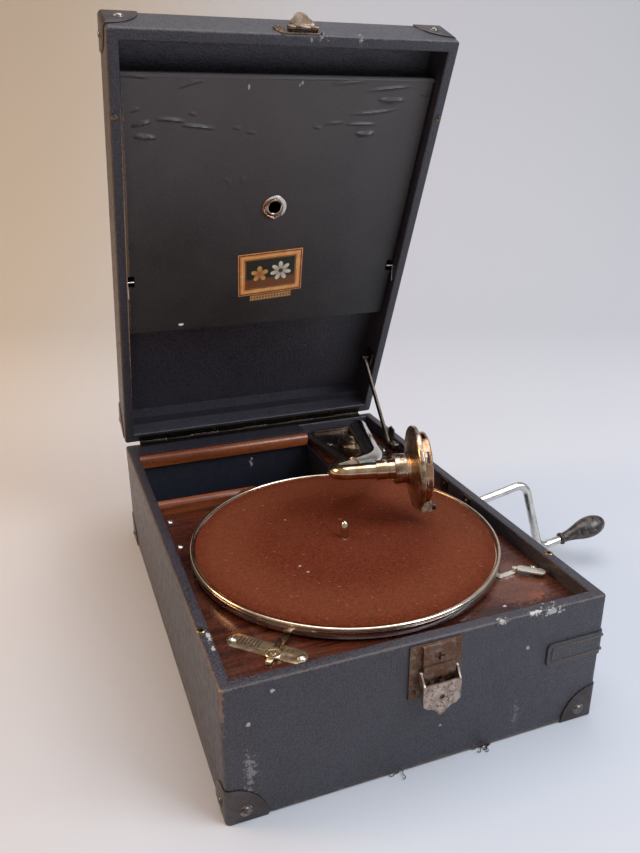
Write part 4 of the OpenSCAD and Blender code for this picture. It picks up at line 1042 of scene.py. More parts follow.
def stand(name: str, data: bpy.types.ID) -> Thing:
    """Puts a mesh, lamp or camera in the scene, at the origin.

    Args:
        name: the object's name.
        data: what it shows.

    Returns:
        The object.
    """
    obj = bpy.data.objects.new(name, data)
    bpy.context.scene.collection.objects.link(obj)
    return obj


def paint(mesh: bpy.types.Mesh, material: bpy.types.Material) -> None:
    """Makes a material the only one of a mesh."""
    mesh.materials.clear()
    mesh.materials.append(material)


def close_mesh(bm: bmesh.types.BMesh, mesh: bpy.types.Mesh, sharp: float) -> None:
    """Merges doubles, turns normals outward and writes a mesh with smooth faces.

    Args:
        bm: the mesh under construction, which is freed.
        mesh: where it goes.
        sharp: angle in degrees above which an edge stays sharp.
    """
    bmesh.ops.remove_doubles(bm, verts=bm.verts, dist=1e-6)
    bmesh.ops.recalc_face_normals(bm, faces=bm.faces)
    if bm.calc_volume(signed=True) < 0:
        bmesh.ops.reverse_faces(bm, faces=bm.faces)
    bm.to_mesh(mesh)
    bm.free()
    mesh.polygons.foreach_set("use_smooth", [True] * len(mesh.polygons))
    mesh.set_sharp_from_angle(angle=math.radians(sharp))
    mesh.update()


def baked(obj: Thing, sharp: float = 35.0) -> Thing:
    """Turns an object's modifiers into its mesh.

    Args:
        obj: the object.
        sharp: angle in degrees above which an edge stays sharp.

    Returns:
        The same object.
    """
    depsgraph = bpy.context.evaluated_depsgraph_get()
    whole = bpy.data.meshes.new_from_object(obj.evaluated_get(depsgraph))
    obj.modifiers.clear()
    bm = bmesh.new()
    bm.from_mesh(whole)
    close_mesh(bm, whole, sharp)
    obj.data = whole
    return obj


def joined(obj: Thing, tools: Sequence[Shape], way: Join = Join.CUT) -> Thing:
    """Cuts shapes out of an object or adds them to it.

    Args:
        obj: the object.
        tools: the shapes, which are used up.
        way: whether they cut or add.

    Returns:
        The same object.
    """
    helpers = [tool.emit("tool") for tool in tools]
    for helper in helpers:
        cut = obj.modifiers.new("cut", "BOOLEAN")
        cut.operation = way.value
        cut.solver = "EXACT"
        cut.object = helper
    baked(obj)
    for helper in helpers:
        bpy.data.objects.remove(helper)
    return obj


def is_closed(bm: bmesh.types.BMesh) -> bool:
    """Tells whether every edge joins two faces."""
    return all(len(edge.link_faces) == 2 for edge in bm.edges)


# How a CAD node is copied: how near doubles are, in metres, the flat and the sharp angle, and how much of its
# volume the broken edges may take.
MERGE = 2e-6
FLAT_ANGLE = math.radians(0.3)
EDGE_ANGLE = math.radians(34)
LOST_SHARE = 0.08


def refined(node: str, bevel: float, sharp: float = 32.0) -> Thing:
    """A merged copy of a CAD node with softly broken edges, or with its own where they would tear.

    Args:
        node: the CAD node's name.
        bevel: width of the broken edges, in millimetres.
        sharp: angle in degrees above which an edge stays sharp.

    Returns:
        The copy.
    """
    for width in (bevel, 0.0):
        bm = bmesh.new()
        bm.from_mesh(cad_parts[node].data)
        bmesh.ops.remove_doubles(bm, verts=bm.verts, dist=MERGE)
        size = abs(bm.calc_volume())
        bmesh.ops.dissolve_limit(bm, angle_limit=FLAT_ANGLE, verts=bm.verts, edges=bm.edges)
        if width:
            edges = [e for e in bm.edges if len(e.link_faces) == 2 and e.calc_face_angle(0) > EDGE_ANGLE]
            bmesh.ops.bevel(bm, geom=edges, offset=width * MM, offset_type="OFFSET", segments=2, profile=0.6,
                            affect="EDGES", clamp_overlap=True)
        if is_closed(bm) and abs(abs(bm.calc_volume()) - size) < LOST_SHARE * size:
            break
        if width:
            LOG.info("%s keeps its CAD edges", node)
            bm.free()
    mesh = bpy.data.meshes.new(node + "_fine")
    close_mesh(bm, mesh, sharp)
    return stand(node + "_fine", mesh)


def settle(obj: Thing, finish: Optional[Finish], body: str, slot: str, *nodes: str) -> None:
    """Gives a piece and the nodes that it stands for their finish, and the piece its body.

    Args:
        obj: the piece.
        finish: its finish, or none if it has its materials already.
        body: the CAD body that it rides on.
        slot: not used.
        *nodes: CAD nodes that it stands for.
    """
    if finish is not None:
        paint(obj.data, finish.material())
    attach(obj, body)
    if nodes:
        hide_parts(*nodes)
    for node in nodes:
        paint(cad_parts[node].data, obj.data.materials[0])
    LOG.info("%s: %d faces on %s", obj.name, len(obj.data.polygons), body)


def trim(node: str, bevel: float, finish: Finish, body: str, slot: str, sharp: float = 32.0) -> None:
    """Replaces a CAD node whose shape stays by a copy with softer edges.

    Args:
        node: the CAD node's name.
        bevel: width of the broken edges, in millimetres.
        finish: the piece's finish.
        body: the CAD body that it rides on.
        slot: name of a material slot, passed on to settle.
        sharp: angle in degrees above which an edge stays sharp.
    """
    settle(refined(node, bevel, sharp), finish, body, slot, node)


class Repeater:
    """Geometry Nodes that repeat one small mesh, whose result is baked."""

    @staticmethod
    def start(name: str, **inputs: str) -> tuple[Graph, dict[str, Socket]]:
        """Starts a tree.

        Args:
            name: the tree's name.
            **inputs: kind of each input after the geometry, the item and its finish, by name.

        Returns:
            The tree's graph, and its input sockets by name.
        """
        tree = bpy.data.node_groups.new(name, "GeometryNodeTree")
        for label, kind in {"Geometry": "Geometry", "Item": "Object", "Finish": "Material", **inputs}.items():
            tree.interface.new_socket(label, in_out="INPUT", socket_type="NodeSocket" + kind)
        tree.interface.new_socket("Geometry", in_out="OUTPUT", socket_type="NodeSocketGeometry")
        g = Graph(tree)
        return g, {socket.name: socket for socket in g.node("NodeGroupInput").outputs if socket.name}

    @staticmethod
    def end(g: Graph, given: dict[str, Socket], points: Socket, turn: Socket, size: Socket) -> Tree:
        """Puts the item at each point, makes the copies real and sets their material.

        Args:
            g: the tree's graph.
            given: its input sockets by name.
            points: the points.
            turn: turn of each copy.
            size: size of each copy.

        Returns:
            The tree.
        """
        item = g.fill(g.node("GeometryNodeObjectInfo"), Object=given["Item"])
        copies = g.fill(g.node("GeometryNodeInstanceOnPoints"), Points=points,
                        Instance=item.outputs["Geometry"], Rotation=turn, Scale=size)
        real = g.fill(g.node("GeometryNodeRealizeInstances"), Geometry=copies.outputs["Instances"])
        done = g.fill(g.node("GeometryNodeSetMaterial"), Geometry=real.outputs[0], Material=given["Finish"])
        g.fill(g.node("NodeGroupOutput"), Geometry=done.outputs[0])
        return g.tree

    @staticmethod
    @cache
    def placing() -> Tree:
        """Builds the tree that puts the item at each vertex, by the vertex's turn and size attributes.

        Returns:
            The tree.
        """
        g, given = Repeater.start("repeat_at_places")
        turn, size = (g.fill(g.node("GeometryNodeInputNamedAttribute", data_type=kind), Name=label)
                      for label, kind in (("turn", "FLOAT_VECTOR"), ("size", "FLOAT")))
        return Repeater.end(g, given, given["Geometry"], turn.outputs["Attribute"], size.outputs["Attribute"])

    @staticmethod
    @cache
    def strewing() -> Tree:
        """Builds the tree that strews the item over a surface, at random turns and sizes.

        Returns:
            The tree.
        """
        g, given = Repeater.start("strew_over_surface", Density="Float", Seed="Int")
        spread = g.fill(g.node("GeometryNodeDistributePointsOnFaces"), Mesh=given["Geometry"],
                        Density=given["Density"], Seed=given["Seed"])
        turn, size = (g.fill(g.node("FunctionNodeRandomValue", data_type=kind), Seed=given["Seed"])
                      for kind in ("FLOAT_VECTOR", "FLOAT"))
        limits = ((-0.05, -0.05, 0.0), (0.05, 0.05, math.tau), 0.5, 1.3)
        for socket, limit in zip((turn.inputs[0], turn.inputs[1], size.inputs[2], size.inputs[3]), limits):
            socket.default_value = limit
        return Repeater.end(g, given, spread.outputs["Points"], turn.outputs[0], size.outputs[1])

    @classmethod
    def run(cls, obj: Thing, tree: Tree, sharp: float, **values: object) -> Thing:
        """Sets the tree's inputs, bakes it and clears the item away.

        Args:
            obj: the object that the tree works on.
            tree: the tree.
            sharp: angle in degrees above which an edge stays sharp.
            **values: inputs by name, with the item among them.

        Returns:
            The baked object.
        """
        names = {s.name: s.identifier for s in tree.interface.items_tree if s.in_out == "INPUT"}
        repeat = obj.modifiers.new("repeat", "NODES")
        repeat.node_group = tree
        for name, value in values.items():
            repeat[names[name]] = value
        baked(obj, sharp)
        obj.data.polygons.foreach_set("material_index", [0] * len(obj.data.polygons))
        paint(obj.data, values["Finish"])
        bpy.data.objects.remove(values["Item"])
        return obj

    @classmethod
    def at(cls, name: str, places: Sequence[tuple[Matrix, float]], item: Thing, finish: Finish) -> Thing:
        """Repeats an item at given places.

        Args:
            name: name of the piece.
            places: frame in millimetres and size of each copy.
            item: the small mesh, which is used up.
            finish: the piece's finish.

        Returns:
            The piece.
        """
        mesh = bpy.data.meshes.new(name)
        mesh.from_pydata([spot.to_translation() * MM for spot, _ in places], [], [])
        for label, kind in (("turn", "FLOAT_VECTOR"), ("size", "FLOAT")):
            mesh.attributes.new(label, kind, "POINT")
        turn, size = mesh.attributes["turn"], mesh.attributes["size"]
        for i, (spot, scale) in enumerate(places):
            turn.data[i].vector = spot.to_euler("XYZ")
            size.data[i].value = scale
        return cls.run(stand(name, mesh), cls.placing(), 40.0, Item=item, Finish=finish.material())

    @classmethod
    def over(cls, name: str, surface: Thing, item: Thing, finish: Finish, density: float, seed: int) -> Thing:
        """Strews an item over a surface.

        Args:
            name: name of the piece.
            surface: the surface, which turns into the piece.
            item: the small mesh, which is used up.
            finish: the piece's finish.
            density: copies per square metre.
            seed: seed of the places, turns and sizes.

        Returns:
            The piece.
        """
        surface.name = name
        return cls.run(surface, cls.strewing(), 60.0, Item=item, Finish=finish.material(), Density=density,
                       Seed=seed)


class Items:
    """Small meshes that are repeated. Each stands on its origin, along +Z, in millimetres."""

    @staticmethod
    def dome(radius: float, height: float, steps: int = 6) -> list[Place]:
        """Outline of a domed head on a low straight edge.

        Args:
            radius: its radius.
            height: height of the dome over the edge.
            steps: number of steps from the edge to the middle.

        Returns:
            Radius and height of each point.
        """
        curve = (radius * radius + height * height) / (2 * height)
        edge = 0.3
        outline = [(0.0, -0.4), (radius, -0.4), (radius, edge - 0.05), (radius, edge)]
        for r in (radius * (1 - i / steps) for i in range(1, steps)):
            outline.append((r, edge + math.sqrt(max(curve * curve - r * r, 0)) - curve + height))
        return outline + [(0.0, edge + height)]

    @classmethod
    def screw_head(cls, radius: float = 3.2, height: float = 1.3) -> Thing:
        """Round head with a slot.

        Args:
            radius: its radius.
            height: height of its dome.

        Returns:
            The head.
        """
        head = Shape().lathe(cls.dome(radius, height), 36, False).emit("screw_item")
        slot = Shape().box((-radius - 1, -0.38, height - 0.35), (radius + 1, 0.38, height + 2))
        return joined(head, [slot])

    @classmethod
    def stud(cls) -> Thing:
        """Domed stud on a thin ringed washer.

        Returns:
            The stud.
        """
        outline = [(0, -0.4), (5.0, -0.4), (5.0, 0.15), (4.5, 0.35), (3.9, 0.15), (3.5, 0.2), (3.4, 0.7),
                   (3.0, 1.2), (2.2, 1.6), (1.2, 1.78), (0, 1.82)]
        return Shape().lathe(outline, 36, False).emit("stud_item")

    @classmethod
    def bar(cls, low: Point, high: Point) -> Thing:
        """A plain bar."""
        return Shape().box(low, high).emit("bar_item")

    @classmethod
    def fibre(cls, length: float, radius: float, bend: float, seed: int) -> Thing:
        """A bent bit of lint that lies flat.

        Args:
            length: its length.
            radius: its thickness.
            bend: how far it turns from step to step, in radians.
            seed: seed of the turns.

        Returns:
            The fibre.
        """
        chance = random.Random(seed)
        spot = Vector((0, 0, radius))
        heading = 0.0
        path = [spot.copy()]
        steps = 9
        for _ in range(steps):
            heading += chance.uniform(-bend, bend)
            spot += Vector((math.cos(heading), math.sin(heading), 0)) * length / steps
            spot.z = radius + chance.uniform(0, 0.25)
            path.append(spot.copy())
        return Shape().tube(path, [radius] * len(path), 5).emit("fibre_item")


TAN: Colour = (0.33, 0.19, 0.10)
CHIP: Colour = (0.50, 0.48, 0.46)
RIM_MARKS = (
    Mark((95.3, -207, 103.6), (7, 6, 2.4), CHIP, 0.7, 9.0),
    Mark((81.4, -206, 106.5), (5, 1.6, 2.5), CHIP, 0.9, 6.0),
    Mark((55, -207, 105.6), (3, 4, 2), CHIP, 0.7, 6.0),
    Mark((65.5, -193.5, 106.5), (1.6, 1.6, 2), CHIP, 0.8, 3.0),
    Mark((-110, -207, 97.7), (1.5, 3, 1.5), CHIP, 0.7, 3.0),
    Mark((-126, -207, 36.8), (3, 3, 11), CHIP, 0.28, 10.0),
    Mark((-126, -207, 76.7), (1.5, 3, 1.5), CHIP, 0.7, 3.0),
    Mark((78, -207, 78), (1.5, 3, 1.5), CHIP, 0.6, 3.0), Mark((73, -207, 23), (2, 3, 8), CHIP, 0.16, 10.0),
    Mark((10.7, -207, 31.8), (1.2, 3, 1.2), CHIP, 0.6, 3.0),
    Mark((-136, -152, 106.5), (1.5, 4.5, 2), CHIP, 0.75, 5.0),
    Mark((-136.3, -164.3, 106.5), (1.2, 3, 2), CHIP, 0.7),
    Mark((-142, -206, 92), (1.8, 1.8, 20), TAN, 0.5, 5.0),
    Mark((-142.5, -150, 106), (1.2, 60, 1.2), TAN, 0.15, 5.0),
    Mark((40, -207, 1), (130, 3, 2), TAN, 0.22, 6.0),
)
LID_MARKS = (
    Mark((19, -203.8, -14), (7, 3, 3), CHIP, 0.7, 7.0), Mark((54.6, -203.5, -14), (4, 3, 3), CHIP, 0.7, 7.0),
    Mark((-134.4, 0, -14), (0.9, 200, 6), TAN, 0.8, 1.5),
    Mark((0, -198.2, -14), (140, 0.8, 4), TAN, 0.4, 4.0),
)


class Looks:
    """The finishes that several sub-assemblies share."""

    case = Leathercloth("case_cloth", Local((0, 0, MIDDLE_Z)),
                        tuple(replace(m, centre=(*m.centre[:2], m.centre[2] - MIDDLE_Z)) for m in RIM_MARKS),
                        half=(*HALF, MIDDLE_Z))
    lid = Leathercloth("lid_cloth", in_lid(0, 0, 126.5), LID_MARKS, half=(*HALF, 18))
    band = Leathercloth("band_cloth", colour=(0.018, 0.018, 0.022), light=(0.05, 0.05, 0.058),
                        half=(144.2, 208.2, 200))
    piping = Plain("piping_brown", colour=(0.085, 0.05, 0.035), rough=0.5)
    board = Wood("board_wood", marks=(
        Mark((77.6, -177.1, 94), (1.6, 1.3, 2), CHIP, 0.9),
        # Mark at (108, -173): painted reflection of the brake lever's pale oval plate in the polished board.
        Mark((108, -173, 94), (7, 4, 2), (0.20, 0.05, 0.02), 0.5),
        # Mark at (100, -150): a broad, soft, paler warm patch on the board at the front right of the platter.
        Mark((100, -150, 94), (30, 34, 3), (0.26, 0.11, 0.07), 0.25, 1.2)))
    moulding = Wood("moulding_wood", dark=(0.12, 0.028, 0.008), light=(0.27, 0.068, 0.020), shine=0.26,
                    dusty=0.05)
    fillet = Wood("fillet_wood", dark=(0.012, 0.008, 0.007), light=(0.03, 0.018, 0.014), shine=0.3, dusty=0.3)
    nickel = Metal("nickel", stained=0.30, rusty=0.02, scratched=0.3, polish=0.07, dull=0.2)
    worn_nickel = Metal("worn_nickel", colour=(0.68, 0.58, 0.46), stain=(0.20, 0.12, 0.07), stained=0.75,
                        rusty=0.25, polish=0.16, dull=0.42, patch=8.0)
    rim = Metal("rim_nickel", colour=(0.92, 0.78, 0.62), stain=(0.42, 0.26, 0.16), stained=0.35, rusty=0.04,
                scratched=0.3, polish=0.10, dull=0.26)
    # The skirt's finish is a darker, greyer copy of the platter's nickel: painted shade and painted dark
    # reflection under the rolled rim.
    skirt = Metal("skirt_nickel_painted_shade", colour=(0.46, 0.42, 0.43), stain=(0.24, 0.17, 0.12), stained=0.35,
                  rusty=0.0, scratched=0.2, polish=0.07, dull=0.2)
    swan = Metal("swan_nickel", colour=(0.70, 0.58, 0.42), stain=(0.30, 0.17, 0.08), stained=0.55, rusty=0.06,
                 polish=0.08, dull=0.22, patch=14.0)
    steel = Metal("steel", colour=(0.55, 0.53, 0.50), stain=(0.25, 0.20, 0.16), stained=0.6, rusty=0.25,
                  polish=0.25, dull=0.5)
    strip = Metal("brassy_strip", colour=(0.62, 0.50, 0.34), stain=(0.36, 0.25, 0.15), stained=0.4, rusty=0.0,
                  scratched=0.2, polish=0.24, dull=0.4)
    bright = Metal("bright_steel", colour=(0.74, 0.71, 0.66), stain=(0.38, 0.31, 0.25), stained=0.4,
                   rusty=0.03, scratched=0.2, polish=0.16, dull=0.32)
    rusty = Metal("rusty_plate", colour=(0.24, 0.19, 0.16), stain=(0.12, 0.06, 0.035),
                  rust=(0.13, 0.05, 0.022), stained=0.85, rusty=0.7, polish=0.3, dull=0.55, patch=9.0)
    lever = Metal("speckled_lever", colour=(0.55, 0.47, 0.41), stain=(0.22, 0.13, 0.09), stained=0.7,
                  rusty=0.5, polish=0.3, dull=0.55, patch=5.0)
    hasp = Metal("hasp_brown", colour=(0.20, 0.155, 0.12), stain=(0.085, 0.05, 0.03), stained=0.7, rusty=0.3,
                 polish=0.2, dull=0.42, patch=8.0)
    sheet = Metal("dark_sheet", colour=(0.115, 0.105, 0.110), stain=(0.075, 0.058, 0.05),
                  rust=(0.06, 0.036, 0.024), stained=0.6, rusty=0.15, polish=0.30, dull=0.46, patch=9.0)
    stud = Metal("dark_stud", colour=(0.34, 0.31, 0.30), stain=(0.09, 0.07, 0.06), rust=(0.05, 0.028, 0.018),
                 stained=0.8, rusty=0.3, polish=0.24, dull=0.4, patch=4.0)
    bronze = Metal("dark_bronze", colour=(0.11, 0.088, 0.072), stain=(0.05, 0.034, 0.026), stained=0.7,
                   rusty=0.3, polish=0.26, dull=0.46, patch=9.0)
    leaf = Metal("hinge_leaf", colour=(0.045, 0.038, 0.033), stain=(0.03, 0.022, 0.018),
                 rust=(0.05, 0.025, 0.015), stained=0.7, rusty=0.4, polish=0.42, dull=0.65, patch=9.0)
    copper = Metal("copper", colour=(0.62, 0.36, 0.22), stain=(0.22, 0.12, 0.07), stained=0.65, rusty=0.15,
                   polish=0.16, dull=0.4, patch=9.0)
    brass = Metal("brass", colour=(0.50, 0.40, 0.25), stain=(0.20, 0.13, 0.07), stained=0.7, rusty=0.12,
                  polish=0.22, dull=0.45)
    plate = Metal("scale_plate", colour=(0.60, 0.48, 0.32), stain=(0.30, 0.19, 0.11), stained=0.7, rusty=0.22,
                  polish=0.28, dull=0.5, patch=8.0)
    pale = Metal("pale_plate", colour=(0.93, 0.89, 0.80), stain=(0.72, 0.62, 0.48), stained=0.3, rusty=0.0,
                 scratched=0.3, polish=0.3, dull=0.5)
    foil = Metal("foil", colour=(0.24, 0.22, 0.20), stain=(0.12, 0.10, 0.08), stained=0.4, rusty=0.02,
                 polish=0.4)
    ink = Plain("ink", colour=(0.02, 0.014, 0.01), rough=0.6)
    thread = Plain("thread", colour=(0.10, 0.07, 0.05), rough=0.85)
    fray = Plain("fray", colour=(0.02, 0.02, 0.024), rough=0.95)
    lint = Plain("lint", colour=(0.55, 0.42, 0.34), rough=0.95)
    felt = Felt("felt", Local((0, TABLE_Y, 104.9)), (
        Mark((8.1, 30.8, 0), (2.2, 1.2, 2), (0.40, 0.16, 0.09), 0.6),
        Mark((-46.7, -39.8, 0), (1.4, 1, 2), CHIP, 0.7),
        Mark((-49.5, -29.5, 0), (1.2, 1.0, 2), CHIP, 0.7), Mark((-36.5, 46.4, 0), (1, 1, 2), CHIP, 0.6)))
    duct = Paint("duct_paint", marks=(Mark((-13.7, 174.5, 84.5), (1.5, 3, 1.9), CHIP, 0.5, 4.0),
                                      Mark((-14.2, 174.5, 78), (1.8, 3, 3.4), CHIP, 0.45, 6.0)))
    tray = TrayCloth("tray_cloth", in_lid(0, 0, 118.5), (
        Mark((-32, -164, 0), (0.9, 2.6, 2), CHIP, 0.6, 2.0),
        Mark((13, -167.5, 0), (1.0, 1.8, 2), CHIP, 0.5, 2.0),
        Mark((11, -165.5, 0), (0.9, 1.4, 2), CHIP, 0.4, 2.0),
        Mark((-83, 64, 0), (2.6, 1.7, 2), (0.85, 0.84, 0.82), 1.0, 2.0),
        Mark((-132, -40, 0), (1.3, 120, 2), TAN, 0.35, 3.0)))
    leather = Leathercloth("handle_leather", colour=(0.020, 0.015, 0.013), light=(0.05, 0.038, 0.032),
                           fineness=800.0, relief=0.00015)
    grip = Marbled("marbled_grip")


def arc(centre: Sequence[float], radius: float, start: float, end: float, steps: int) -> list[Place]:
    """Points of an arc.

    Args:
        centre: its centre.
        radius: its radius.
        start: angle of the first point, in degrees.
        end: angle of the last point.
        steps: number of steps between them.

    Returns:
        The points.
    """
    angles = [math.radians(start + (end - start) * i / steps) for i in range(steps + 1)]
    return [(centre[0] + radius * math.cos(a), centre[1] + radius * math.sin(a)) for a in angles]


def rounded(low: Sequence[float], high: Sequence[float], radius: float, z: float,
            steps: int = 5) -> list[Point]:
    """A loop of points round a rectangle with round corners.

    Args:
        low: its lowest corner.
        high: its highest corner.
        radius: radius of its corners.
        z: its height.
        steps: number of steps in each corner.

    Returns:
        The points.
    """
    corners = ((high[0] - radius, high[1] - radius, 0), (low[0] + radius, high[1] - radius, 90),
               (low[0] + radius, low[1] + radius, 180), (high[0] - radius, low[1] + radius, 270))
    return [(x, y, z) for cx, cy, a in corners for x, y in arc((cx, cy), radius, a, a + 90, steps)]


def quarter(step: int) -> list[Place]:
    """How far a rounded edge is from its two faces, from 1 and 0 to 0 and 1, by steps in degrees."""
    return [(1 - math.sin(a), 1 - math.cos(a)) for a in (math.radians(t) for t in range(0, 91, step))]


def bend(start: Vector, corner: Vector, end: Vector, steps: int = 12) -> list[tuple[float, Vector]]:
    """Points of a smooth bend past a corner, each with its share of the way."""
    shares = (k / steps for k in range(1, steps + 1))
    return [(t, start.lerp(corner, t).lerp(corner.lerp(end, t), t)) for t in shares]


@dataclass(frozen=True)
class BoxSize:
    """Sizes of an open box whose walls end in a rounded rim."""

    half: Place = HALF
    shut: float = 0
    rim: float = 106.5
    inside: float = 6
    low: Place = (-134, -198)
    high: Place = (134, 198)
    corner: float = 3.0
    soft: float = 1.7
    lip: float = 1.3
    inner_corner: float = 0.8

    def shape(self, at: Optional[Matrix] = None) -> Shape:
        """Builds the box, with its shut side at one height and its rim at another.

        Args:
            at: its frame, the row frame if none is given.

        Returns:
            The box.
        """
        sign = 1 if self.rim > self.shut else -1
        rings = [(self.soft * s, self.shut + sign * self.soft * c) for s, c in quarter(18)]
        rings += [(0.0, self.shut + (self.rim - self.shut) * k / 6) for k in range(1, 6)]
        rings += [(self.soft * c, self.rim - sign * self.soft * s) for s, c in quarter(15)]
        loops = [rounded([i - v for v in self.half], [v - i for v in self.half], max(self.corner - i, 0.5), z)
                 for i, z in rings]
        for s, c in quarter(18):
            low, high = [v - self.lip * s for v in self.low], [v + self.lip * s for v in self.high]
            loops.append(rounded(low, high, self.inner_corner, self.rim - sign * self.lip * c))
        for k in range(1, 4):
            z = self.rim + (self.inside - self.rim) * k / 3
            loops.append(rounded(self.low, self.high, self.inner_corner, z))
        return Shape(at).loft(loops)


@dataclass(frozen=True)
class Case:
    """Open base box with its band, corners, studs, hinge leaf and handle."""

    size: BoxSize = BoxSize()
    stud_set: float = 13
    stud_out: float = 0.85
    stud_z: float = 9
    band_at: Place = (144.25, 208.25)
    band_z: Place = (60.2, 72.3)
    band_end: float = 100
    notch_radius: float = 14.6
    bush_radius: float = 5.02
    shelf: tuple[Point, Point] = ((-135, 178, 60), (50, 198.6, 106.4))
    ledges: tuple[tuple[Point, Point], ...] = (((-135, -199, 76), (135, -190, 86)),
                                               ((-142, -198.5, 76), (-126, 56, 85.95)),
                                               ((126, -198.5, 76), (142, 56, 85.95)))
    rebate: tuple[Point, Point] = ((-129, 205.9, 105.9), (129, 209, 108))
    frays: tuple[Place, ...] = ((50, 200), (52, 245), (47, 290), (54, 265), (49, 225), (51, 310), (53, 280),
                                (46, 250), (55, 215), (48, 235), (-22, 205), (-18, 330), (-20, 260))
    stitches: int = 31
    stitch_pitch: float = 2.2
    stitch_from: Point = (155.75, -33, 39)

    def build(self) -> None:
        """Builds and dresses every piece of the case."""
        self.shell()
        self.band()
        self.metalwork()
        self.handle()

    def shell(self) -> None:
        """The covered box with its rear shelf and the ledges under the board."""
        obj = self.size.shape().emit("case_shell_fine")
        joined(obj, [Shape().box(*corners) for corners in (self.shelf, *self.ledges)], Join.ADD)
        bush = Shape(CRANK @ Matrix.Rotation(math.pi / 2, 4, "Y")).rod(self.bush_radius, -24, 8, 48)
        cuts = [Shape().box(*self.rebate), bush]
        x, y = DOWEL_AT
        cuts += [Shape(frame_at((s * x, y, 98.5))).rod(2.5, 0, 9, 32) for s in (-1, 1)]
        settle(joined(obj, cuts), Looks.case, "base", "leathercloth", "case_shell")

    def band(self) -> None:
        """The band round the right side, with a raised piping near its edge."""
        trim("carry_band", 0.35, Looks.band, "base", "leathercloth")
        (x, y), (low, high) = self.band_at, self.band_z
        notch = [(x, *spot) for spot in arc(CRANK_AT, self.notch_radius, -32, -148, 10)]
        turn = ((self.band_end, y), (x - 4, y), (x - 1.2, y - 0.3), (x - 0.3, y - 1.2), (x, y - 4))
        tip = self.band_end - 1
        path = [(tip, -y, low + 1), *((a, -b, low) for a, b in turn),
                *((a, b, low) for a, b in reversed(turn)), (tip, y, low + 1), (tip, y, high - 1),
                *((a, b, high) for a, b in turn), *notch, *((a, -b, high) for a, b in reversed(turn)),
                (tip, -y, high - 1)]
        bead = Shape().tube([Vector(p) for p in path], [0.5] * len(path), 8, True).emit("band_piping", 60)
        settle(bead, Looks.piping, "base", "leathercloth")

    def metalwork(self) -> None:
        """Frayed threads, corners, studs, hinge leaf, pins, rail, clips, sockets, bush and handle loops."""
        places = [(frame_at((x, 0.4 - HALF[1], 0.2 + 0.25 * (k % 3)), (0, 0, turn)), 1.1)
                  for k, (x, turn) in enumerate(self.frays)]
        settle(Repeater.at("frayed_threads", places, Items.fibre(9.0, 0.26, 0.9, 8), Looks.fray), None,
               "base", "leathercloth")
        trim("base_corners", 0.25, Looks.sheet, "base", "dark_sheet")
        settle(self.studs("base_studs_fine", Matrix.Identity(4), self.stud_z), None, "base", "steel",
               "base_studs")
        trim("base_hinge_leaf", 0.12, Looks.leaf, "base", "steel")
        trim("hinge_pins", 0.1, Looks.steel, "base", "steel")
        places = [(frame_at((HINGE_PITCH * (k - 2.5), HINGE_SCREWS_Y, 107.2)), 1.0) for k in range(6)]
        settle(Repeater.at("base_hinge_screws", places, Items.screw_head(1.9, 0.5), Looks.bronze), None,
               "base", "steel")
        trim("stay_rail", 0.2, Looks.bronze, "base", "steel")
        trim("crank_clips", 0.3, Looks.bronze, "base", "steel")
        trim("rim_sockets", 0.1, Looks.brass, "base", "brass")
        trim("crank_bush", 0.2, Looks.worn_nickel, "base", "nickel")
        trim("handle_loops", 0.4, Looks.steel, "base", "steel")

    def studs(self, name: str, base: Matrix, z: float) -> Thing:
        """One stud on each side of every upright edge.

        Args:
            name: name of the piece.
            base: frame of the box.
            z: height of the studs in it.

        Returns:
            The piece.
        """
        (wide, deep), set_in, out = self.size.half, self.stud_set, self.stud_out
        places = []
        for x in (-1, 1):
            for y in (-1, 1):
                front = (x * (wide - set_in), y * (deep + out), z)
                side = (x * (wide + out), y * (deep - set_in), z)
                for place, turns in ((front, (-90 * y, 0, 0)), (side, (0, 90 * x, 0))):
                    places.append((frame_at(place, turns, base), 0.9))
        return Repeater.at(name, places, Items.stud(), Looks.stud)

    def handle(self) -> None:
        """The leather grip and its stitches."""
        trim("carry_handle", 0.5, Looks.leather, "handle", "leather_dark")
        x, y, z = self.stitch_from
        places = [(frame_at((x, y + self.stitch_pitch * k, z), (0, 90, 0)), 1.0)
                  for k in range(self.stitches)]
        item = Items.bar((-0.35, -0.8, -0.1), (0.35, 0.8, 0.22))
        settle(Repeater.at("handle_stitches", places, item, Looks.thread), None, "handle", "leather_dark")


@dataclass(frozen=True)
class Wrinkle:
    """A ridge in the tray's cloth from one place to another, in the closed lid."""

    start: Place
    end: Place
    height: float = 1.7
    width: float = 1.2

    def at(self, x: float, y: float) -> float:
        """Its height at a place: a wavering ridge with a shallow furrow beside it, which fades at both ends.

        Args:
            x: the place's X.
            y: the place's Y.

        Returns:
            The height.
        """
        ax, ay = self.end[0] - self.start[0], self.end[1] - self.start[1]
        bx, by = x - self.start[0], y - self.start[1]
        size = ax * ax + ay * ay
        t = (ax * bx + ay * by) / size
        off = (ax * by - ay * bx) / math.sqrt(size) + 0.7 * math.sin(3.1 * t + self.start[0])
        along = max(0.0, 1 - (2 * min(max(t, 0), 1) - 1) ** 2) if -0.02 < t < 1.02 else 0.0
        side = off / self.width
        ridge, furrow = 1.35 * math.exp(-side * side), 0.45 * math.exp(-(side - 1.8) ** 2)
        return 1.5 * self.height * along * (ridge - furrow)


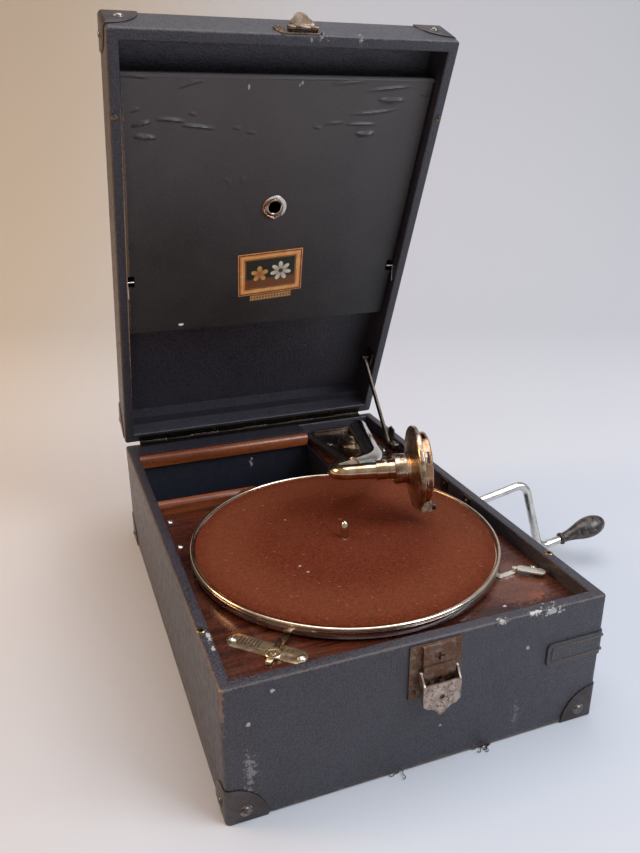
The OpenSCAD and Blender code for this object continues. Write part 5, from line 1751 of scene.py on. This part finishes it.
@dataclass(frozen=True)
class Lid:
    """Lid box with its tray, badge, hasp, corners, studs, hinge leaf and stay."""

    size: BoxSize = BoxSize(shut=144.5, rim=108.5, inside=138.5, high=(134, 196))
    tray_low: Place = (-132.5, -173)
    tray_high: Place = (132.5, 70)
    face: float = 118.85
    back: float = 121.5
    wrinkles: tuple[Wrinkle, ...] = (
        Wrinkle((-106.9, -137.8), (-82.2, -135.5), 1.0, 1.3),
        Wrinkle((-87, -132.3), (-58.3, -130.6), 1.0, 1.2), Wrinkle((-124.9, -131.5), (-110.8, -136.3)),
        Wrinkle((-124.3, -123.5), (-106.2, -123.4)), Wrinkle((-131.2, -170.1), (-110.4, -169.8), 0.6),
        Wrinkle((-89, -162.7), (-74.2, -166), 0.6), Wrinkle((-81.2, -165.1), (-68, -168.4), 0.5),
        Wrinkle((59.2, -141.6), (105.3, -147.9), 0.9, 1.2), Wrinkle((55.9, -133.8), (87.3, -132.9), 0.9, 1.1),
        Wrinkle((66.7, -125.9), (85.9, -125.8)), Wrinkle((69.4, -161.1), (115.2, -166.7), 0.9, 1.1),
        Wrinkle((83, -153.7), (108.3, -155.7)), Wrinkle((121.7, -160.1), (132, -159.4), 0.6),
        Wrinkle((26.9, -130.4), (35, -131.3), 0.5), Wrinkle((37.4, -133.8), (55.7, -134.7), 0.6),
        Wrinkle((-80.7, -141.9), (-74.3, -141.9), 0.5), Wrinkle((-50, -84.4), (-42, -83.3), 0.5),
        Wrinkle((-34.1, -84.9), (-28.7, -84.8), 0.5), Wrinkle((-126.1, -143.3), (-118.4, -145.6), 0.6),
        Wrinkle((36.7, -167.1), (74.2, -169.4), 0.6), Wrinkle((-31.9, -127.2), (-23.1, -125.4), 0.4),
        Wrinkle((-43.1, -129.7), (-36.4, -130.5), 0.4))
    badge_at: Place = (3.0, 11.2)
    badge: Place = (64, 46.3)
    plaque: Place = (42, 6.6)
    badge_turn: float = -4.3
    block: tuple[Point, Point] = ((-135, 187, 124.5), (135, 197, 139.5))
    rebate: tuple[Point, Point] = ((-129, 205.9, 107.5), (129, 208, 109.1))
    hasp_screws: tuple[Place, ...] = ((-11, 113), (-11, 123.5), (17.5, 113.5), (17.5, 123.5))
    eyelet_at: Point = (0, -58, 116)

    def build(self) -> None:
        """Builds and dresses every piece of the lid."""
        self.shell()
        self.tray()
        self.transfers()
        self.metalwork()

    def shell(self) -> None:
        """The covered box with the block behind its hinge edge."""
        obj = self.size.shape(LID).emit("lid_shell_fine")
        joined(obj, [Shape(LID).box(*self.block)], Join.ADD)
        cuts = [Shape(LID).box(*self.rebate)]
        x, y = DOWEL_AT
        for s in (-1, 1):
            cuts += [Shape(LID @ frame_at((s * x, y, 107.5))).rod(1.4, 0, 7),
                     Shape(LID @ frame_at((s * 135.5, *TRAY_PIVOT), (0, 90, 0))).rod(1.56, -2.5, 2.5)]
        settle(joined(obj, cuts), Looks.lid, "lid", "leathercloth", "lid_shell")

    def tray(self) -> None:
        """The record tray with creased cloth and its pivot pins."""
        low, high = self.tray_low, self.tray_high
        xs = [low[0] + (high[0] - low[0]) * k / 230 for k in range(231)]
        ys = [low[1] + k * 0.95 for k in range(58)]
        ys += [ys[-1] + (high[1] - ys[-1]) * k / 90 for k in range(1, 91)]
        shape = Shape(LID)
        rows = []
        for y in ys:
            row = []
            for x in xs:
                lift = sum(w.at(x, y) for w in self.wrinkles)
                swell = 0.16 * math.sin(x / 31 + y / 57) * math.sin(y / 23)
                row.append((x, y, self.face + swell - lift))
            rows.append(shape.ring(row))
        backs = [shape.ring([(x, y, self.back) for x in (low[0], high[0])]) for y in (low[1], high[1])]
        for first, second in zip(rows, rows[1:]):
            shape.skin(first, second, False)
        (a, b), (c, d) = backs
        left, right = [row[0] for row in reversed(rows)], [row[-1] for row in rows]
        near, far = [*rows[0], b, a], [*reversed(rows[-1]), c, d]
        for loop in ([a, b, d, c], near, far, [a, c, *left], [d, b, *right]):
            shape.bm.faces.new(loop)
        obj = shape.emit("tray_board_fine")
        cuts = [Shape(LID @ frame_at(self.eyelet_at)).rod(8, 0, 9, 48)]
        cuts += [Shape(LID).box((s * 130 - 3.5, 6, 116), (s * 130 + 3.5, 18, 124)) for s in (-1, 1)]
        joined(obj, cuts)
        joined(obj, [Shape(LID @ frame_at((0, *TRAY_PIVOT), (0, 90, 0))).rod(1.5, -137, 137)], Join.ADD)
        settle(obj, Looks.tray, "record_tray", "tray_cloth", "tray_board")

    def transfers(self) -> None:
        """The printed badge and the narrow band below it, both without words."""
        base = LID @ frame_at((*self.badge_at, self.face), (0, 0, self.badge_turn))
        down = self.badge[1] / 2 + self.plaque[1] / 2 + 0.6
        below = base @ Matrix.Translation((0.5, down, 0))
        for name, size, at, finish in (("lid_badge", self.badge, base, Badge("badge_print")),
                                       ("lid_plaque", self.plaque, below, Plaque("plaque_print"))):
            x, y = size[0] / 2, size[1] / 2
            obj = Shape(at).box((-x, -y, -0.30), (x, y, 0.30)).emit(name)
            layer = obj.data.uv_layers.new(name="print")
            back = (TO_METRES @ at).inverted()
            for loop in obj.data.loops:
                spot = back @ obj.data.vertices[loop.vertex_index].co
                layer.data[loop.index].uv = (0.5 + spot.x / size[0], 0.5 - spot.y / size[1])
            settle(obj, finish, "record_tray", "tray_cloth")

    def metalwork(self) -> None:
        """Corner protectors, studs, hinge leaf, hasp, dowels, stay, eyelet and clips."""
        trim("lid_corners", 0.25, Looks.sheet, "lid", "dark_sheet")
        settle(Case().studs("lid_studs_fine", LID, 133.5), None, "lid", "steel", "lid_studs")
        trim("lid_hinge_leaf", 0.12, Looks.leaf, "lid", "steel")
        places = [(frame_at((HINGE_PITCH * (k - 2), HINGE_SCREWS_Y, 107.8), (180, 0, 0), LID), 1.0)
                  for k in range(5)]
        settle(Repeater.at("lid_hinge_screws", places, Items.screw_head(1.9, 0.5), Looks.bronze), None, "lid",
               "steel")
        trim("hasp_plate", 0.25, Looks.hasp, "lid", "rusty_plate")
        places = [(frame_at((x, LATCH_Y, z), (90, 0, 0), LID), 0.55) for x, z in self.hasp_screws]
        settle(Repeater.at("hasp_screws", places, Items.screw_head(3.0, 1.0), Looks.hasp), None, "lid",
               "rusty_plate")
        trim("hasp_tongue", 0.3, Looks.hasp, "hasp", "rusty_plate")
        trim("lid_dowels", 0.1, Looks.hasp, "lid", "brass")
        trim("stay_bracket", 0.3, Looks.bronze, "lid", "steel")
        trim("stay_bar", 0.25, Looks.bronze, "stay", "steel")
        trim("tray_eyelet", 0.1, Looks.nickel, "record_tray", "nickel")
        trim("clip_left", 0.1, Looks.bright, "left_clip", "brass")
        trim("clip_right", 0.1, Looks.bright, "right_clip", "brass")


@dataclass(frozen=True)
class Deck:
    """Motor board with the horn's mouth, levers, plates and screws, and the latch at the front."""

    screw_at: tuple[Place, ...] = ((-127, 42), (-127, -5), (127, -190), (-127, -190), (60, 62), (125, 62),
                                   (128.8, -139.3))
    plate_screws: tuple[Place, ...] = ((71.5, 157), (120, 120), (104, 185))
    fillet_x: float = 50.3
    latch_screws: tuple[Place, ...] = ((-12, 67), (-12, 99), (19, 67), (19, 99))
    # Rows of ticks on the scale: X of the first, pitch, Y, number and size.
    ticks: tuple[tuple[float, float, float, int, float], ...] = ((-21, 2.5, 1.6, 7, 1.0),
                                                                 (8, 3.2, 3.4, 4, 0.55))

    def build(self) -> None:
        """Builds and dresses every piece of the deck."""
        trim("motor_board", 0.5, Looks.board, "base", "mahogany")
        self.mouth()
        trim("arm_plate", 0.3, Looks.hasp, "base", "rusty_plate")
        trim("arm_bearing", 0.3, Looks.worn_nickel, "base", "nickel")
        self.screws()
        self.scale()
        trim("speed_lever", 0.12, Looks.strip, "regulator", "steel")
        trim("brake_lever", 0.2, Looks.pale, "brake", "brass")
        trim("latch_plate", 0.3, Looks.rusty, "base", "rusty_plate")
        trim("latch_lever", 0.3, Looks.lever, "latch", "rusty_plate")
        places = [(frame_at((x, LATCH_Y, z), (90, 0, 0)), 0.6) for x, z in self.latch_screws]
        settle(Repeater.at("latch_screws", places, Items.screw_head(3.0, 1.0), Looks.rusty), None, "base",
               "rusty_plate")

    def mouth(self) -> None:
        """Mouldings and the painted duct, with the fillet in a darker wood."""
        obj = refined("mouth_mouldings", 0.3)
        obj.data.materials.append(Looks.moulding.material())
        obj.data.materials.append(Looks.fillet.material())
        for face in obj.data.polygons:
            face.material_index = int(face.center.x > self.fillet_x * MM)
        settle(obj, None, "base", "moulding", "mouth_mouldings")
        trim("horn_duct", 0.4, Looks.duct, "base", "dark_paint")

    def screws(self) -> None:
        """The round-headed screws of the board and its plates."""
        places = [(frame_at((x, y, BOARD_TOP + 0.05), (0, 0, 37 * k)), 1.0)
                  for k, (x, y) in enumerate(self.screw_at)]
        places += [(frame_at((x, y, BOARD_TOP + 1.25), (0, 0, 20 + 50 * k)), 1.0)
                   for k, (x, y) in enumerate(self.plate_screws)]
        places += [(SCALE @ frame_at((s * 26, 0, 0.65), (0, 0, 30 * s)), 1.0) for s in (-1, 1)]
        settle(Repeater.at("board_screws_fine", places, Items.screw_head(), Looks.bright), None, "base",
               "steel", "board_screws")

    def scale(self) -> None:
        """The speed plate with plain engraved bars."""
        trim("speed_scale", 0.1, Looks.plate, "base", "steel")
        places = [(SCALE @ frame_at((x + pitch * k, y, 0.6)), size)
                  for x, pitch, y, count, size in self.ticks for k in range(count)]
        item = Items.bar((-0.5, -3.6, -0.05), (0.5, 3.6, 0.06))
        settle(Repeater.at("speed_ticks", places, item, Looks.ink), None, "base", "steel")


@dataclass(frozen=True)
class Turntable:
    """Platter with its rolled rim, the felt on it, lint and the spindle."""

    radius: float = 127
    felt: float = 122.5
    top: float = 104.9
    skirt_top: float = 102.55
    tip_from: float = 115.9
    tip_end: float = 120
    tip_stretch: float = 2.1
    lint_density: float = 2600.0
    seed: int = 11

    def build(self) -> None:
        """Builds and dresses every piece of the turntable."""
        self.platter()
        self.mat()
        self.spindle()

    def spindle(self) -> None:
        """The spindle, whose round tip is drawn out to a slim pin."""
        obj = refined("spindle", 0.1)
        for vertex in obj.data.vertices:
            if vertex.co.z > self.tip_from * MM:
                vertex.co.z = self.tip_end * MM - self.tip_stretch * (self.tip_end * MM - vertex.co.z)
        settle(obj, Looks.nickel, "turntable", "nickel", "spindle")

    def platter(self) -> None:
        """One turned section: hub, disc, skirt and rolled rim, with a darker copy of the nickel on the skirt
        as painted shade.
        """
        r = self.radius
        outline = [(4.02, 95), (10, 95), (10, 101.9), (r - 5, 101.9), (r - 3.4, 101.3), (r - 2.7, 100.4),
                   (r - 2.7, 97), (r - 2.4, 96.5), (r - 1.9, 96.4)]
        outline += [(r - 0.25 - 0.055 * (z - 100.4) ** 2, z)
                    for z in (96.7, 97.4, 98.2, 99, 99.8, 100.6, 101.4, 102.1)]
        outline += [(r - 1.3, 102.6)]
        outline += arc((r - 1.6, 104.05), 1.45, -75, 205, 18)
        outline += [(r - 3.9, 102.6), (self.felt + 0.2, 102.6), (self.felt - 0.4, 103.5), (4.02, 103.5)]
        obj = Shape(TABLE).lathe(outline, 256).emit("platter_fine")
        obj.data.materials.append(Looks.rim.material())
        # Faces below the rolled rim take the darker copy of the nickel, which is painted shade.
        obj.data.materials.append(Looks.skirt.material())
        for face in obj.data.polygons:
            face.material_index = int(face.center.z < self.skirt_top * MM)
        settle(obj, None, "turntable", "nickel", "platter")

    def mat(self) -> None:
        """Felt with a slightly frayed edge, and bits of lint on it."""
        r, z = self.felt, self.top
        outline = [(4.1, 103.5), (4.1, z - 0.2), (4.6, z), (20, z), (55, z + 0.05), (90, z),
                   (r - 2, z - 0.02), (r - 0.7, z - 0.15), (r - 0.1, z - 0.6), (r, 103.5)]
        obj = Shape(TABLE).lathe(outline, 256, uneven=0.5, seed=self.seed).emit("felt_mat_fine")
        settle(obj, Looks.felt, "turntable", "felt", "felt_mat")
        surface = Shape(frame_at((0, TABLE_Y, z + 0.02)))
        angles = [k * math.tau / 48 for k in range(48)]
        inner, outer = (surface.ring([(reach * math.cos(a), reach * math.sin(a), 0) for a in angles])
                        for reach in (8, r * 0.985))
        surface.skin(outer, inner)
        obj = surface.emit("lint_area")
        if obj.data.polygons[0].normal.z < 0:
            obj.data.flip_normals()
        piece = Repeater.over("felt_lint", obj, Items.fibre(2.6, 0.045, 0.7, 5), Looks.lint,
                              self.lint_density, self.seed)
        settle(piece, None, "turntable", "felt")


@dataclass(frozen=True)
class ToneArm:
    """Arm tube, swan neck, soundbox and needle clamp."""

    base: float = 95.4
    elbow: Point = (0.8, -2, 115.5)
    branch: Point = (-10.5, -141, 136)
    collar: tuple[Place, ...] = ((0, 14.95), (5.8, 14.95), (6.2, 14.55), (7.2, 13.6), (8.6, 12.0),
                                 (10.2, 10.7))
    # Radius at the start of the elbow, the straight and the branch, and how much each loses.
    tapers: tuple[Place, ...] = ((10.2, 0.8), (9.4, 0.75), (8.65, 1.1))
    mouth: tuple[Place, ...] = ((30.4, 7.5), (30.9, 7.35), (31, 7.0), (31, 6.35), (30, 6.2), (20, 6.2))

    def build(self) -> None:
        """Builds and dresses every piece of the arm."""
        self.tube()
        trim("gooseneck", 0.15, Looks.swan, "swan_neck", "nickel")
        trim("soundbox_case", 0.2, Looks.worn_nickel, "swan_neck", "nickel")
        trim("soundbox_ring", 0.2, Looks.copper, "swan_neck", "copper")
        trim("needle_bar", 0.15, Looks.worn_nickel, "swan_neck", "nickel")
        trim("needle_screw", 0.15, Looks.bronze, "thumb_screw", "steel")

    def tube(self) -> None:
        """One smooth sweep from the flared foot over the elbow to the branch of the swan neck."""
        elbow, branch = Vector(self.elbow), Vector(self.branch)
        ahead = (branch - elbow).normalized()
        into = (ARM.inverted() @ NECK).to_3x3() @ Vector((-1, 0, 0))
        neck = (ARM.inverted() @ NECK).to_translation()
        path = [Vector((0, 0, self.base + height)) for height, _ in self.collar]
        radii = [radius for _, radius in self.collar]
        start = path[-1] + Vector((0, 0, 0.8))
        far = elbow + ahead * 17
        corner = elbow + Vector((0, 0.6, 1.2))
        near, after = branch - ahead * 16, neck + into * 15
        straight = [(k / 8, far.lerp(near, k / 8)) for k in range(1, 9)]
        stretches = (bend(start, corner, far), straight, bend(near, branch, after))
        for (thick, loss), stretch in zip(self.tapers, stretches):
            path += [spot for _, spot in stretch]
            radii += [thick - loss * t for t, _ in stretch]
        path += [neck + into * reach for reach, _ in self.mouth]
        radii += [radius for _, radius in self.mouth]
        settle(self.sweep(path, radii).emit("tone_arm_fine", 28), Looks.nickel, "arm", "nickel", "tone_arm")

    def sweep(self, path: Sequence[Vector], radii: Sequence[float]) -> Shape:
        """Sweeps the tube, which turns back inside its mouth.

        Args:
            path: centres of its circles.
            radii: radius at each centre.

        Returns:
            The tube.
        """
        rings = []
        side, ahead = Vector((1, 0, 0)), Vector((0, 0, 1))
        straight = len(path) - len(self.mouth)
        for i, centre in enumerate(path):
            if 0 < i < straight:
                ahead = (path[i + 1] - path[i - 1]).normalized()
            elif i >= straight:
                ahead = (path[straight] - path[straight - 1]).normalized()
            side = (side - ahead * side.dot(ahead)).normalized()
            rings.append(hoop(centre, radii[i], side, ahead.cross(side), 64))
        return Shape(ARM).loft(rings)


@dataclass(frozen=True)
class Crank:
    """Winding crank with its turning grip."""

    def build(self) -> None:
        """Dresses the rod and the grip."""
        trim("crank_rod", 0.2, Looks.bright, "crank", "steel")
        trim("crank_grip", 0.2, Looks.grip, "grip", "grip", 28)


@dataclass(frozen=True)
class Works:
    """Parts under the board and the diaphragm, which keep their CAD meshes."""

    finishes: tuple[tuple[str, Finish], ...] = (
        ("horn_throat", Looks.steel), ("motor_top_plate", Looks.steel), ("motor_bottom_plate", Looks.steel),
        ("motor_pillars", Looks.bright), ("spring_barrel", Looks.steel), ("mainspring", Looks.bright),
        ("winding_arbor", Looks.steel), ("winding_pinion", Looks.steel), ("intermediate_gear", Looks.brass),
        ("governor_shaft", Looks.bright), ("governor_weights", Looks.brass), ("governor_brake", Looks.steel),
        ("diaphragm", Looks.foil))

    def build(self) -> None:
        """Gives each node its finish."""
        for node, finish in self.finishes:
            paint(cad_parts[node].data, finish.material())


@dataclass(frozen=True)
class Ground(Finish):
    """Pale paper whose colour turns from warm on the left to cool on the right, painted light that stands in
    for warm light from the left and cool light from the right.
    """

    warm: Colour = (0.47, 0.41, 0.335)
    cool: Colour = (0.51, 0.53, 0.58)
    mottle: Colour = (0.5, 0.5, 0.5)

    def dress(self, g: Graph, shader: Node, at: Socket) -> None:
        """A slow change of tone, which is painted light, with the faintest mottling."""
        # Painted light: the warm-to-cool change stands in for warm light from the left and cool light from
        # the right.
        colour = g.mix(g.step(g.axes(at)[0], -0.85, 0.1), self.warm, self.cool)
        colour = g.lay(g.noise(at, 0.5, 2.0), 0.06, colour, self.mottle)
        g.fill(shader, Base_Color=colour, Roughness=0.9, Specular_IOR_Level=0.1)


@dataclass(frozen=True)
class Lamp:
    """One soft area light that looks at a place, in metres."""

    name: str
    at: Point
    aim: Point
    size: Place
    power: float
    colour: Colour

    def build(self) -> None:
        """Adds the light."""
        data = bpy.data.lights.new(self.name, "AREA")
        data.shape = "RECTANGLE"
        data.size, data.size_y = self.size
        data.energy = self.power
        data.color = self.colour
        obj = stand(self.name, data)
        obj.location = self.at
        obj.rotation_euler = (Vector(self.aim) - Vector(self.at)).to_track_quat("-Z", "Y").to_euler()


@dataclass(frozen=True)
class Studio:
    """Ground, background, lights and camera."""

    eye: Point = (-0.21616, -0.57268, 0.41659)
    look: Point = (69.056, 0.268, -20.849)
    lens: float = 32.22
    turn: float = -20.85
    warm: Colour = (0.78, 0.64, 0.50)
    cool: Colour = (0.68, 0.76, 0.88)
    strength: Place = (0.42, 0.62)
    lamps: tuple[Lamp, ...] = (
        Lamp("window", (1.3, -1.3, 1.6), (0, 0, 0.15), (1.3, 1.3), 42, (0.86, 0.93, 1.0)),
        Lamp("room", (-1.6, 0.6, 0.9), (-0.5, 0.5, 0), (0.7, 0.7), 20, (1.0, 0.56, 0.26)),
        Lamp("ceiling", (0.1, 0.0, 2.4), (0, 0, 0), (2.0, 2.0), 34, (0.97, 0.98, 1.0)))

    def build(self) -> None:
        """Builds the studio."""
        self.paper()
        self.world()
        for lamp in self.lamps:
            lamp.build()
        self.camera()
        bpy.context.scene.view_settings.view_transform = "Standard"

    def paper(self) -> None:
        """One sheet of paper that curves up behind the object."""
        shape = Shape(frame_at((0, 0, -0.2), (0, 0, self.turn)))
        outline = [(-3000, 0), (-1500, 0), (-500, 0), (500, 0), (1100, 0)]
        outline += [(1100 + 900 * math.sin(math.radians(a)), 900 - 900 * math.cos(math.radians(a)))
                    for a in range(6, 91, 6)]
        outline += [(2000, 1400), (2000, 3600)]
        rows = [shape.ring([(x, y, z) for x in (-4000, -1500, 0, 1500, 4000)]) for y, z in outline]
        for first, second in zip(rows, rows[1:]):
            shape.skin(first, second, False)
        shape.bm.transform(TO_METRES @ shape.at)
        mesh = bpy.data.meshes.new("paper")
        shape.bm.to_mesh(mesh)
        shape.bm.free()
        mesh.polygons.foreach_set("use_smooth", [True] * len(mesh.polygons))
        paint(mesh, Ground("paper", Local(turn=(0, 0, self.turn))).material())
        stand("paper", mesh)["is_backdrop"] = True

    def world(self) -> None:
        """Soft light from all round, warmer on the left, cooler on the right and stronger above."""
        world = bpy.data.worlds.new("studio")
        world.use_nodes = True
        world.node_tree.nodes.clear()
        g = Graph(world.node_tree)
        x, _, z = g.axes(g.node("ShaderNodeTexCoord").outputs["Generated"])
        colour = g.mix(g.step(x, -0.8, 0.8), self.warm, self.cool)
        shine = g.fill(g.node("ShaderNodeBackground"), Color=colour,
                       Strength=g.between(g.step(z, -0.3, 0.9), *self.strength))
        g.fill(g.node("ShaderNodeOutputWorld"), Surface=shine.outputs[0])
        bpy.context.scene.world = world

    def camera(self) -> None:
        """The photo's view."""
        data = bpy.data.cameras.new("camera")
        data.lens = self.lens
        data.sensor_width = 36
        data.clip_start = 0.02
        obj = stand("camera", data)
        obj.location = self.eye
        obj.rotation_euler = [math.radians(a) for a in self.look]
        bpy.context.scene.camera = obj


def corners() -> list[list[float]]:
    """Lowest and highest corner of what is shown, as plain lists."""
    return [[float(v) for v in corner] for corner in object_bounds()]


def main() -> None:
    """Builds every sub-assembly and the studio."""
    logging.basicConfig(level=logging.INFO, format="%(message)s")
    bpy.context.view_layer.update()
    for part in (Case(), Lid(), Deck(), Turntable(), ToneArm(), Crank(), Works(), Studio()):
        LOG.info("building %s", type(part).__name__)
        part.build()


if __name__ == "__main__":
    main()
